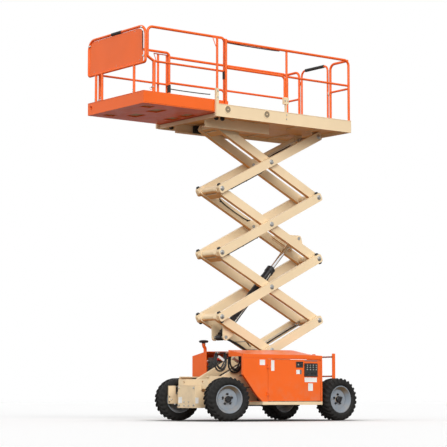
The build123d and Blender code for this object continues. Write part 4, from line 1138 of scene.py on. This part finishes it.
class LIFT_OT_intake(bpy.types.Operator):
    """Makes the engine's air intake: bent pipe, clamp and ribbed cap"""
    bl_idname = "lift.intake"
    bl_label = "Air intake"

    def execute(self, context):
        low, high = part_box("intake_stack")
        x, y = high.x - 0.080, (low.y + high.y) / 2
        base = x - 0.030
        z0, z1 = low.z + 0.012, high.z - 0.056
        pipe = add_hose([(base, y, z0 - 0.012), (base, y, z0 + 0.03), (base, y, z1 - 0.088),
                         (base + 0.005, y, z1 - 0.066), (x - 0.003, y, z1 - 0.048), (x, y, z1 - 0.02),
                         (x, y, z1 + 0.012)], 0.027, 28)
        collar = add_band(0.026, 0.0305, 0.011, 0.002, 32)
        put(collar, (x, y, z1 - 0.020), 90)
        pipe_piece = make("intake_pipe", "chassis", "rail_paint", pipe, collar)
        profile = [(0.002, 0.0), (0.030, 0.0), (0.033, 0.006), (0.035, 0.016), (0.060, 0.021), (0.072, 0.024),
                   (0.077, 0.030), (0.079, 0.037), (0.074, 0.043), (0.063, 0.050), (0.040, 0.0545),
                   (0.018, 0.0558), (0.002, 0.056)]
        cap = add_ring(profile, 48)
        put(cap, (x, y, z1), 90)
        ribs = []
        for n in range(16):
            rib = add_block((0.036, -0.0025, 0.012), (0.070, 0.0025, 0.024), 0.001)
            ribs.append(put(rib, (x, y, z1), 360 * n / 16, "Z"))
        screw = add_rod((x, y, z1 + 0.050), (x, y, z1 + 0.056), 0.010, 6, 0.001)
        make("intake_lid", "chassis", "black_plastic", cap, *ribs, screw)
        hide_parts("intake_stack")
        return {"FINISHED"}


class LIFT_OT_front_end(bpy.types.Operator):
    """Adds labels without writing, bolts, a rib and kingpin caps to the front axle, and a black belly pan under
    the chassis
    """
    bl_idname = "lift.front_end"
    bl_label = "Front end"

    def execute(self, context):
        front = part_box("front_axle")[1].x
        labels = [add_label((front - 0.0005, -0.212, 0.281), (front + 0.0012, -0.118, 0.375), X),
                  add_label((front - 0.065, 0.2265, 0.274), (front - 0.006, 0.2282, 0.367), Y)]
        make("axle_labels", "chassis", "blank_label", *labels)
        bolts = [add_bolt((front, y, z), X, 0.024) for y in (-0.195, 0.195) for z in (0.245, 0.515)]
        bolts += [add_bolt((front, y, z), X, 0.018) for y in (-0.06, 0.06) for z in (0.24, 0.30)]
        rib = [add_block((front - 0.002, -0.227, 0.548), (front + 0.004, 0.227, 0.556), 0.002)]
        make("axle_bolts", "chassis", "bolt_zinc", *bolts)
        make("axle_rib", "chassis", "axle_paint", *rib)
        sill = corner("left_door", 0, 0, 0)
        # A black pan under the chassis; its black partly stands for the shade there: painted shade.
        pan = add_panel((sill.x + 0.16, -0.30, 0.232), (sill.x + 1.30, 0.30, 0.262), -Z, 0.030, -0.006, 0.004)
        straps = [add_block((x - 0.03, y - 0.004, 0.252), (x + 0.03, y + 0.004, 0.312), 0.002)
                  for x in (sill.x + 0.30, sill.x + 1.10) for y in (-0.296, 0.296)]
        make("belly_pan", "chassis", "black_paint", pan, *straps)
        for name in ("left", "right"):
            a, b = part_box(name + "_knuckle")
            joint = joint_place(name + "_steer")
            caps = []
            for z, out in ((b.z, 1), (a.z, -1)):
                ring = add_ring([(0.003, 0.0), (0.034, 0.0), (0.034, 0.004), (0.028, 0.009), (0.012, 0.010),
                                 (0.003, 0.010)], 28)
                caps.append(put(ring, (joint.x, joint.y, z), 90 * out))
                caps.append(add_bolt((joint.x, joint.y, z + 0.009 * out), (0, 0, out), 0.020, 0.009))
            make(name + "_kingpin_caps", name + "_steering", "cast_iron", *caps, slot="pin_steel")
        return {"FINISHED"}


class LIFT_OT_rear_end(bpy.types.Operator):
    """Adds grips to the ladder's rungs, and lamps and bolts behind"""
    bl_idname = "lift.rear_end"
    bl_label = "Rear end"

    def execute(self, context):
        low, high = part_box("rear_ladder")
        x = low.x + 0.032
        rings = []
        for z in (0.500, 0.720, 1.040):
            rings += [put(add_band(0.0112, 0.0135, 0.008, 0.002, 16), (x, -0.200 + n * 0.040, z))
                      for n in range(11)]
        make("rung_grips", "chassis", "wear_nylon", *rings)
        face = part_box("cross_members")[0].x
        bolts = [add_bolt((face, y, z), -X, 0.022) for y in (-0.330, 0.330) for z in (0.330, 0.440)]
        bolts += [add_bolt((low.x + 0.055, s * (high.y + 0.0005), z), Y * s, 0.018) for s in (-1, 1)
                  for z in (0.462, 0.522)]
        make("rear_bolts", "chassis", "bolt_zinc", *bolts)
        lamps, lenses = [], []
        for y in (-0.300, 0.300):
            lamps.append(add_panel((face - 0.018, y - 0.055, 0.368), (face, y + 0.055, 0.412),
                                   -X, 0.006, -0.003, 0.002))
            lenses.append(add_block((face - 0.021, y - 0.046, 0.376),
                                    (face - 0.010, y + 0.046, 0.404), 0.003))
        make("rear_lamps", "chassis", "black_plastic", *lamps)
        make("rear_lenses", "chassis", "red_plastic", *lenses)
        return {"FINISHED"}


class LIFT_OT_engine(bpy.types.Operator):
    """Details the engine and the tanks behind the doors"""
    bl_idname = "lift.engine"
    bl_label = "Engine and tanks"

    def execute(self, context):
        low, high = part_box("engine")
        mid = (low.x + high.x) / 2
        fins = []
        for n in range(14):
            x = low.x + 0.105 + n * 0.027
            fins.append(add_block((x, low.y + 0.030, high.z - 0.118),
                                  (x + 0.006, high.y - 0.030, high.z + 0.012), 0.001))
        cover = add_panel((mid - 0.150, low.y + 0.070, high.z - 0.004),
                          (mid + 0.150, high.y - 0.070, high.z + 0.022), Z, 0.018, 0.006, 0.003)
        make("engine_fins", "chassis", "cast_iron", *fins, cover)
        filter_can = add_rod((low.x + 0.10, low.y - 0.001, 0.56), (low.x + 0.10, low.y - 0.026, 0.56), 0.046,
                             32, 0.006)
        pulley = add_ring([(0.010, 0.0), (0.085, 0.0), (0.085, 0.004), (0.074, 0.010), (0.085, 0.016),
                           (0.085, 0.020), (0.010, 0.020)], 36)
        put(pulley, (mid + 0.08, low.y - 0.021, 0.52))
        make("engine_pulley", "chassis", "pin_steel", pulley, filter_can, slot="engine_metal")
        pipe = add_hose([(low.x + 0.03, high.y - 0.08, 0.70), (low.x - 0.05, high.y - 0.08, 0.71),
                         (low.x - 0.11, high.y - 0.08, 0.68), (low.x - 0.14, high.y - 0.08, 0.60),
                         (low.x - 0.14, high.y - 0.08, 0.46)], 0.024, 20)
        make("exhaust", "chassis", "cast_iron", pipe)
        a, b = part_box("tanks")
        caps = []
        for x, z in ((a.x + 0.12, b.z), (b.x - 0.12, b.z - 0.100)):
            ring = add_ring([(0.004, 0.0), (0.046, 0.0), (0.046, 0.010), (0.040, 0.010), (0.040, 0.030),
                             (0.034, 0.034), (0.004, 0.034)], 32)
            caps.append(put(ring, (x, (a.y + b.y) / 2, z), 90))
        straps = []
        for x in (a.x + 0.10, a.x + 0.38, b.x - 0.38, b.x - 0.10):
            top = b.z if x < (a.x + b.x) / 2 else b.z - 0.100
            straps.append(add_block((x - 0.014, a.y - 0.003, a.z + 0.001),
                                    (x + 0.014, b.y + 0.003, top + 0.003), 0.001))
        make("tank_caps", "chassis", "black_plastic", *caps)
        make("tank_straps", "chassis", "bolt_zinc", *straps)
        return {"FINISHED"}


# ------------------------------------------------------------------ platform
class LIFT_OT_grips(bpy.types.Operator):
    """Makes the foam grips on the rails"""
    bl_idname = "lift.grips"
    bl_label = "Foam grips"

    def execute(self, context):
        for name, node, body, tube in (("gate_foam", "gate_grip", "gate", 0.0172),
                                       ("guard_foam", "guard_grip", "roll_out", 0.0212)):
            low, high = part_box(node)
            radius = (high.z - low.z) / 2
            length = high.y - low.y
            profile = [(tube + 0.0004, 0.0), (radius - 0.002, 0.0), (radius, 0.003)]
            for n in range(1, 24):
                y = length * n / 24
                profile.append((radius + (0.0 if n % 2 else -0.0006) - (0.0012 if n in (8, 16) else 0), y))
            profile += [(radius, length - 0.003), (radius - 0.002, length), (tube + 0.0004, length)]
            grip = add_ring(profile, 32)
            put(grip, ((low.x + high.x) / 2, low.y, (low.z + high.z) / 2))
            make(name, body, "foam", grip, angle=60)
            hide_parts(node)
        low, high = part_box("roll_out_rails")
        x, y = low.x + RAIL_RADIUS, high.y - LEG_INSET
        sleeves = []
        for s in (1, -1):
            sleeve = add_ring([(0.0214, 0.0), (0.0262, 0.0), (0.0275, 0.004), (0.0275, 0.124),
                               (0.0262, 0.128), (0.0214, 0.128)], 28)
            sleeves.append(put(sleeve, (x, y * s, 5.331), 90))
        leg_grips = make("leg_foam", "roll_out", "foam", *sleeves, angle=60)
        return {"FINISHED"}


class LIFT_OT_deck(bpy.types.Operator):
    """Adds recess rings, lip strips, socket bolts, the underside's rollers and ribs, and cables along the rails to
    the platform
    """
    bl_idname = "lift.deck"
    bl_label = "Deck fittings"

    def execute(self, context):
        low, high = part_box("deck")
        ring = add_ring([(0.052, 0.0), (0.070, 0.0), (0.070, 0.002), (0.064, 0.005), (0.057, 0.005),
                         (0.052, 0.001)], 40)
        # The cup is a dark disc in each ring's hollow: painted shade.
        cup = add_ring([(0.002, 0.0), (0.053, 0.0), (0.053, 0.0012), (0.030, 0.0018), (0.002, 0.0018)], 40)
        rim = join([ring, add_bolt((0, 0.0014, 0), Y, 0.018, 0.006)], "rim")
        rings, cups = [], []
        middle, under = 4.845, 4.7752    # heights of the side beam's middle and the deck's underside
        for x in (0.553, -0.232):
            spot = Matrix.Translation((x, high.y, middle))
            for turn in (Matrix.Identity(4), Matrix.Scale(-1, 4, Y)):
                rings.append(copy_of(rim, turn @ spot))
                cups.append(copy_of(cup, turn @ spot))
        for model in (rim, cup):
            bpy.data.objects.remove(model)
        make("side_rings", "platform", "tan_paint", *rings)
        make("side_cup_shade", "platform", "shadow_tan", *cups)
        strips = []
        for s in (1, -1):
            y0, y1 = s * (high.y - 0.004), s * (high.y + 0.004)
            for z0, z1 in ((high.z - 0.007, high.z + 0.003), (low.z - 0.003, low.z + 0.006)):
                strips.append(add_block((low.x + 0.002, y0, z0), (high.x - 0.002, y1, z1), 0.002))
        make("deck_edges", "platform", "tan_paint", *strips)
        a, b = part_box("rail_sockets")
        bolts = []
        for s in (1, -1):
            for z in (5.02, 5.12):
                bolts.append(add_bolt((b.x - 0.030, s * 0.8131, z), Y * s, 0.020, 0.008))
            for z in (4.81, 4.88):
                bolts.append(add_bolt((a.x + 0.050, s * 0.8191, z), Y * s, 0.018, 0.007))
            for x in (a.x + 0.018, a.x + 0.082):
                bolts.append(add_bolt((x, s * 0.8191, 5.105), Y * s, 0.018, 0.007))
        make("socket_bolts", "platform", "bolt_zinc", *bolts)
        rollers, axle = [], 4.735
        for y in (0.60, -0.60):
            for x in (0.62, 0.50):
                wheel = put(add_drum(0.009, 0.037, 0.016, (0.003, 0.004), 28), (x, y, axle))
                rollers += [wheel, add_rod((x, y - 0.030, axle), (x, y + 0.030, axle), 0.010, 16, 0.001)]
                rollers += [add_block((x - 0.020, y + side * 0.024, 4.725),
                                      (x + 0.020, y + side * 0.030, 4.7755), 0.001) for side in (1, -1)]
        make("under_rollers", "platform", "black_plastic", *rollers, slot="wear_nylon")
        ribs = []
        for x, inner in ((-1.55, 0.250), (-1.12, 0.250), (-0.30, 0.412), (0.18, 0.412)):
            for s in (1, -1):
                ribs.append(add_panel((x - 0.025, s * inner, 4.752), (x + 0.025, s * 0.770, under), -Z,
                                      0.006, -0.004))
        make("under_ribs", "platform", "tan_paint", *ribs)
        line = add_hose([(-0.52, 0.775, 5.913), (-0.42, 0.772, 5.908), (-0.05, 0.771, 5.906),
                         (0.35, 0.772, 5.908), (0.578, 0.775, 5.913)], 0.0085, 12)
        cable = add_hose([(-0.30, -0.774, 5.404), (-0.20, -0.770, 5.397), (0.10, -0.769, 5.395),
                          (0.40, -0.770, 5.397), (0.56, -0.774, 5.404)], 0.0085, 12)
        make("rail_cables", "platform", "hose_rubber", line, cable)
        return {"FINISHED"}


class LIFT_OT_roll_out(bpy.types.Operator):
    """Adds the roll-out deck's flanges, handles, clips and locking pins"""
    bl_idname = "lift.roll_out"
    bl_label = "Roll-out fittings"

    def execute(self, context):
        low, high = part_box("roll_out_deck")
        flanges, dark = [], []
        back, bottom = 0.80, 4.7935    # where the side flanges start, and the deck's lower edge
        for s in (1, -1):
            y0, y1 = s * (high.y - 0.001), s * (high.y + 0.004)
            seam = high.y + 0.002 if s > 0 else -high.y - 0.004
            flanges.append(add_block((back, y0, bottom), (high.x - 0.002, y1, 4.806), 0.001))
            # A dark strip along each seam: painted shadow in the gap.
            dark.append(add_block((back, y0, 4.8065), (high.x - 0.02, seam, 4.8105), 0.0008))
        flanges.append(add_block((high.x - 0.001, low.y + 0.002, high.z - 0.010),
                                 (high.x + 0.004, high.y - 0.002, high.z - 0.001), 0.001))
        make("roll_out_flanges", "roll_out", "orange_paint", *flanges)
        make("roll_out_seam_shade", "roll_out", "shadow_orange", *dark)
        ring = add_ring([(0.0282, -0.001), (0.036, -0.001), (0.036, 0.003), (0.0282, 0.004)], 28)
        put(ring, (high.x, -0.670, 4.9072), -90, "Z")
        make("front_hole_rim", "roll_out", "orange_paint", ring)
        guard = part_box("front_guard")[1]
        gx = guard.x - RAIL_RADIUS
        strip = add_hose([(gx + 0.027, 0.745, 5.90), (gx + 0.031, 0.746, 5.87), (gx + 0.031, 0.746, 5.76),
                          (gx + 0.031, 0.746, 5.64), (gx + 0.027, 0.745, 5.61)], 0.0075, 12)
        make("guard_handle", "roll_out", "black_plastic", strip)
        clips = []
        for y, z in ((0.690, 5.970), (-0.745, 5.90), (0.745, 5.52)):
            clips.append(add_block((gx - 0.026, y - 0.020, z - 0.014), (gx + 0.026, y + 0.020, z + 0.014),
                                   0.005))
        make("guard_clips", "roll_out", "bolt_zinc", *clips)
        bolts = []
        for y in (-0.571, -0.401, 0.478):
            for dz in (0.0, 0.03):
                bolts.append(add_bolt((gx + 0.0205, y, 5.005 + dz), X, 0.014, 0.006))
        for y, z in ((-0.62, 5.470), (0.0, 5.470), (0.62, 5.470), (-0.50, 5.935), (0.50, 5.935)):
            bolts.append(add_bolt((gx + 0.0031, y, z), X, 0.010, 0.004))
        make("guard_bolts", "roll_out", "bolt_zinc", *bolts)
        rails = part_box("roll_out_rails")[1]
        pins, x = [], rails.x - 0.121
        for s in (1, -1):
            y = s * (rails.y - LEG_INSET)
            pins.append(add_rod((x, y - s * 0.045, 5.06), (x, y + s * 0.025, 5.06), 0.009, 16, 0.002))
            pins.append(put(add_band(0.018, 0.022, 0.002, 0, 20), (x, y - s * 0.047, 5.042)))
        make("roll_out_pins", "roll_out", "bolt_zinc", *pins)
        return {"FINISHED"}


class LIFT_OT_controls(bpy.types.Operator):
    """Makes the operator's control box: lid, joystick, switches and stop button"""
    bl_idname = "lift.controls"
    bl_label = "Operator controls"

    def execute(self, context):
        low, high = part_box("control_box")
        mid, top = (low.y + high.y) / 2, high.z - 0.040
        plate = add_panel((low.x + 0.012, low.y + 0.012, top - 0.002),
                          (low.x + 0.116, high.y - 0.012, top + 0.006), Z, 0.005, -0.002)
        boot = add_ring([(0.002, 0.0), (0.026, 0.0), (0.024, 0.006), (0.020, 0.008), (0.019, 0.013),
                         (0.015, 0.015), (0.013, 0.020), (0.002, 0.022)], 28)
        x, y = low.x + 0.070, mid - 0.040
        put(boot, (x, y, top + 0.003), 90)
        stick = add_rod((x, y, top + 0.02), (x - 0.002, y, top + 0.062), 0.007, 16, 0.002, 0.010)
        knob = add_rod((x - 0.002, y, top + 0.058), (x - 0.004, y, top + 0.090), 0.014, 20, 0.005, 0.012)
        make("control_stick", "roll_out", "black_plastic", plate, boot, stick, knob)
        y = mid + 0.045
        button = add_rod((x, y, top + 0.008), (x, y, top + 0.028), 0.018, 28, 0.005)
        base = add_rod((x, y, top + 0.002), (x, y, top + 0.012), 0.012, 20, 0.001)
        make("control_stop", "roll_out", "red_plastic", button)
        bits = [base]
        for n in range(4):
            x, y = low.x + 0.030, mid - 0.050 + n * 0.034
            bits += [add_rod((x, y, top + 0.003), (x, y, top + 0.008), 0.007, 14, 0.001),
                     add_rod((x, y, top + 0.006), (x + 0.004, y, top + 0.022), 0.0025, 10, 0.0006, 0.0035)]
        guards = []
        for y in (mid - 0.082, mid + 0.082):
            guards.append(add_hose([(low.x + 0.012, y, top - 0.004), (low.x + 0.012, y, top + 0.050),
                                    (low.x + 0.030, y, top + 0.074), (low.x + 0.080, y, top + 0.078),
                                    (low.x + 0.112, y, top + 0.040), (low.x + 0.118, y, top - 0.004)], 0.005,
                                   12))
        make("control_switches", "roll_out", "bolt_zinc", *bits)
        make("control_guards", "roll_out", "rail_paint", *guards, slot="pin_steel")
        label = add_label((low.x - 0.0012, mid - 0.055, low.z + 0.07),
                          (low.x + 0.0006, mid + 0.055, low.z + 0.15), -X)
        make("control_label", "roll_out", "blank_label", label)
        x, y = low.x + 0.064, mid + 0.05
        gland = add_rod((x, y, low.z + 0.042), (x, y, low.z + 0.022), 0.012, 6, 0.001)
        make("control_gland", "roll_out", "black_plastic", gland)
        return {"FINISHED"}


class LIFT_OT_rails(bpy.types.Operator):
    """Adds base plates and their bolts to the guard rails, and a latch for the gate"""
    bl_idname = "lift.rails"
    bl_label = "Rail fittings"

    def execute(self, context):
        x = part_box("side_rails")[0].x + RAIL_RADIUS
        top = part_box("deck")[1].z
        plates, bolts = [], []
        foot, face = 4.7935, 4.7995    # the hoops' base plates, from the floor to their top
        for s in (1, -1):
            y = s * 0.795
            plates.append(add_block((x - 0.030, y - 0.018, top - 0.0005), (x + 0.050, y + 0.018, top + 0.006),
                                    0.002))
            bolts.append(add_bolt((x + 0.036, y, top + 0.006), Z, 0.014, 0.006))
            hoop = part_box("rear_hoops")[0].x + RAIL_RADIUS
            y = 0.340 if s > 0 else -0.470
            plates.append(add_block((hoop - 0.036, y - 0.036, foot), (hoop + 0.036, y + 0.036, face),
                                    0.002))
            bolts += [add_bolt((hoop + a, y + b, face), Z, 0.012, 0.005)
                      for a in (-0.027, 0.027) for b in (-0.027, 0.027)]
        make("rail_plates", "platform", "orange_paint", *plates)
        make("rail_bolts", "platform", "bolt_zinc", *bolts)
        latch = add_block((-2.001, 0.262, 5.42), (-1.979, 0.318, 5.47), 0.004)
        make("gate_latch", "platform", "bolt_zinc", latch)
        return {"FINISHED"}


# ------------------------------------------------------------------ stage
class LIFT_OT_stage(bpy.types.Operator):
    """Sets the floor, the lamps and the camera"""
    bl_idname = "lift.stage"
    bl_label = "Stage"

    def execute(self, context):
        stage = context.scene.lift_stage
        clear_selection()
        bpy.ops.mesh.primitive_plane_add(size=400)
        floor = bpy.context.object
        floor.name = "floor"
        n, shader = start_material("floor")
        speckle = n.noise(n.place(), 60.0, 2.0)
        seen = n.add("LightPath").outputs["Is Camera Ray"]
        pale = n.mix(n.ramp(speckle, 0.3, 0.7), (0.90, 0.90, 0.90), (0.93, 0.93, 0.93))
        # Painted shadow: where the machine occludes the floor, the floor's colour seen by the camera goes dark and
        # its glow fades.
        open_sky = n.add("AmbientOcclusion", {"samples": 8}, Distance=2.0).outputs["AO"]
        clear = n.ramp(open_sky, 0.55, 0.97, 0.04, 1.0)
        n.feed(shader, "Base Color", n.mix(seen, (0.26, 0.24, 0.22), n.mix(clear, (0.05, 0.05, 0.05), pale)))
        n.feed(shader, "Emission Color", (1.0, 1.0, 1.0))
        n.feed(shader, "Emission Strength", n.math("MULTIPLY", n.math("MULTIPLY", seen, clear),
                                                   stage.floor_glow))
        shader.inputs["Roughness"].default_value = 0.7
        shader.inputs["Specular IOR Level"].default_value = 0.1
        floor.data.materials.append(MATERIALS["floor"])

        world = bpy.data.worlds.new("studio")
        context.scene.world = world
        world.use_nodes = True
        n = Nodes(world.node_tree)
        even = world.node_tree.nodes["Background"]
        n.feed(even, "Color", (1.0, 1.0, 1.0))
        even.inputs["Strength"].default_value = stage.ambient
        white = n.add("Background", None, Color=(1.0, 1.0, 1.0), Strength=1.0)
        path = n.add("LightPath").outputs
        seen = n.math("MAXIMUM", path["Is Camera Ray"],
                      n.math("MAXIMUM", path["Is Glossy Ray"], path["Is Transmission Ray"]))
        both = n.add("MixShader")
        n.feed(both, 0, seen)
        n.feed(both, 1, even.outputs[0])
        n.feed(both, 2, white.outputs[0])
        n.feed(world.node_tree.nodes["World Output"], "Surface", both.outputs[0])

        for name, strength, toward, spread in (("key", stage.key, (-0.35, -0.85, -0.48), 40),
                                               ("fill", stage.fill, (-0.95, 0.10, -0.25), 70)):
            lamp = bpy.data.lights.new(name, "SUN")
            lamp.energy = strength
            lamp.angle = radians(spread)
            holder = bpy.data.objects.new(name, lamp)
            context.scene.collection.objects.link(holder)
            holder.rotation_euler = Vector(toward).to_track_quat("-Z", "Y").to_euler()

        camera = bpy.data.cameras.new("camera")
        camera.lens = stage.lens
        camera.sensor_width = 36
        camera.clip_end = 500
        holder = bpy.data.objects.new("camera", camera)
        context.scene.collection.objects.link(holder)
        holder.location = stage.eye
        holder.rotation_euler = (Vector(stage.aim) - Vector(stage.eye)).to_track_quat("-Z", "Y").to_euler()
        context.scene.camera = holder
        context.scene.view_settings.view_transform = "Standard"
        return {"FINISHED"}


class LIFT_PT_panel(bpy.types.Panel):
    """Lists the lift's pieces"""
    bl_idname = "LIFT_PT_panel"
    bl_label = "Scissor lift"
    bl_space_type = "VIEW_3D"
    bl_region_type = "UI"
    bl_category = "Lift"

    def draw(self, context):
        for operator in OPERATORS:
            self.layout.operator(operator.bl_idname)
        for holder in ("lift_paint", "lift_tyre", "lift_stage"):
            settings = getattr(context.scene, holder)
            for name in settings.bl_rna.properties.keys():
                if name not in ("rna_type", "name"):
                    self.layout.prop(settings, name)


SETTINGS = {"lift_paint": LiftPaint, "lift_tyre": LiftTyre, "lift_stage": LiftStage}
OPERATORS = (LIFT_OT_stage, LIFT_OT_tyres, LIFT_OT_hubs, LIFT_OT_pin_caps, LIFT_OT_arm_stops,
             LIFT_OT_arm_hoses, LIFT_OT_cylinder, LIFT_OT_feed_hoses, LIFT_OT_valves, LIFT_OT_hoods,
             LIFT_OT_intake, LIFT_OT_front_end, LIFT_OT_rear_end, LIFT_OT_engine, LIFT_OT_grips, LIFT_OT_deck,
             LIFT_OT_roll_out, LIFT_OT_controls, LIFT_OT_rails)


def register():
    """Registers the settings, the operators and the panel."""
    for name, settings in SETTINGS.items():
        bpy.utils.register_class(settings)
        setattr(bpy.types.Scene, name, bpy.props.PointerProperty(type=settings))
    for cls in (*OPERATORS, LIFT_PT_panel):
        bpy.utils.register_class(cls)


def unregister():
    """Takes everything back that register set up."""
    for cls in reversed((*OPERATORS, LIFT_PT_panel)):
        bpy.utils.unregister_class(cls)
    for name, settings in SETTINGS.items():
        delattr(bpy.types.Scene, name)
        bpy.utils.unregister_class(settings)


def main():
    """Builds the whole scene."""
    register()
    clear_selection()
    make_groups()
    make_materials()
    paint_cad_nodes()
    for operator in OPERATORS:
        getattr(bpy.ops.lift, operator.bl_idname.split(".")[1])()


if __name__ == "__main__":
    main()
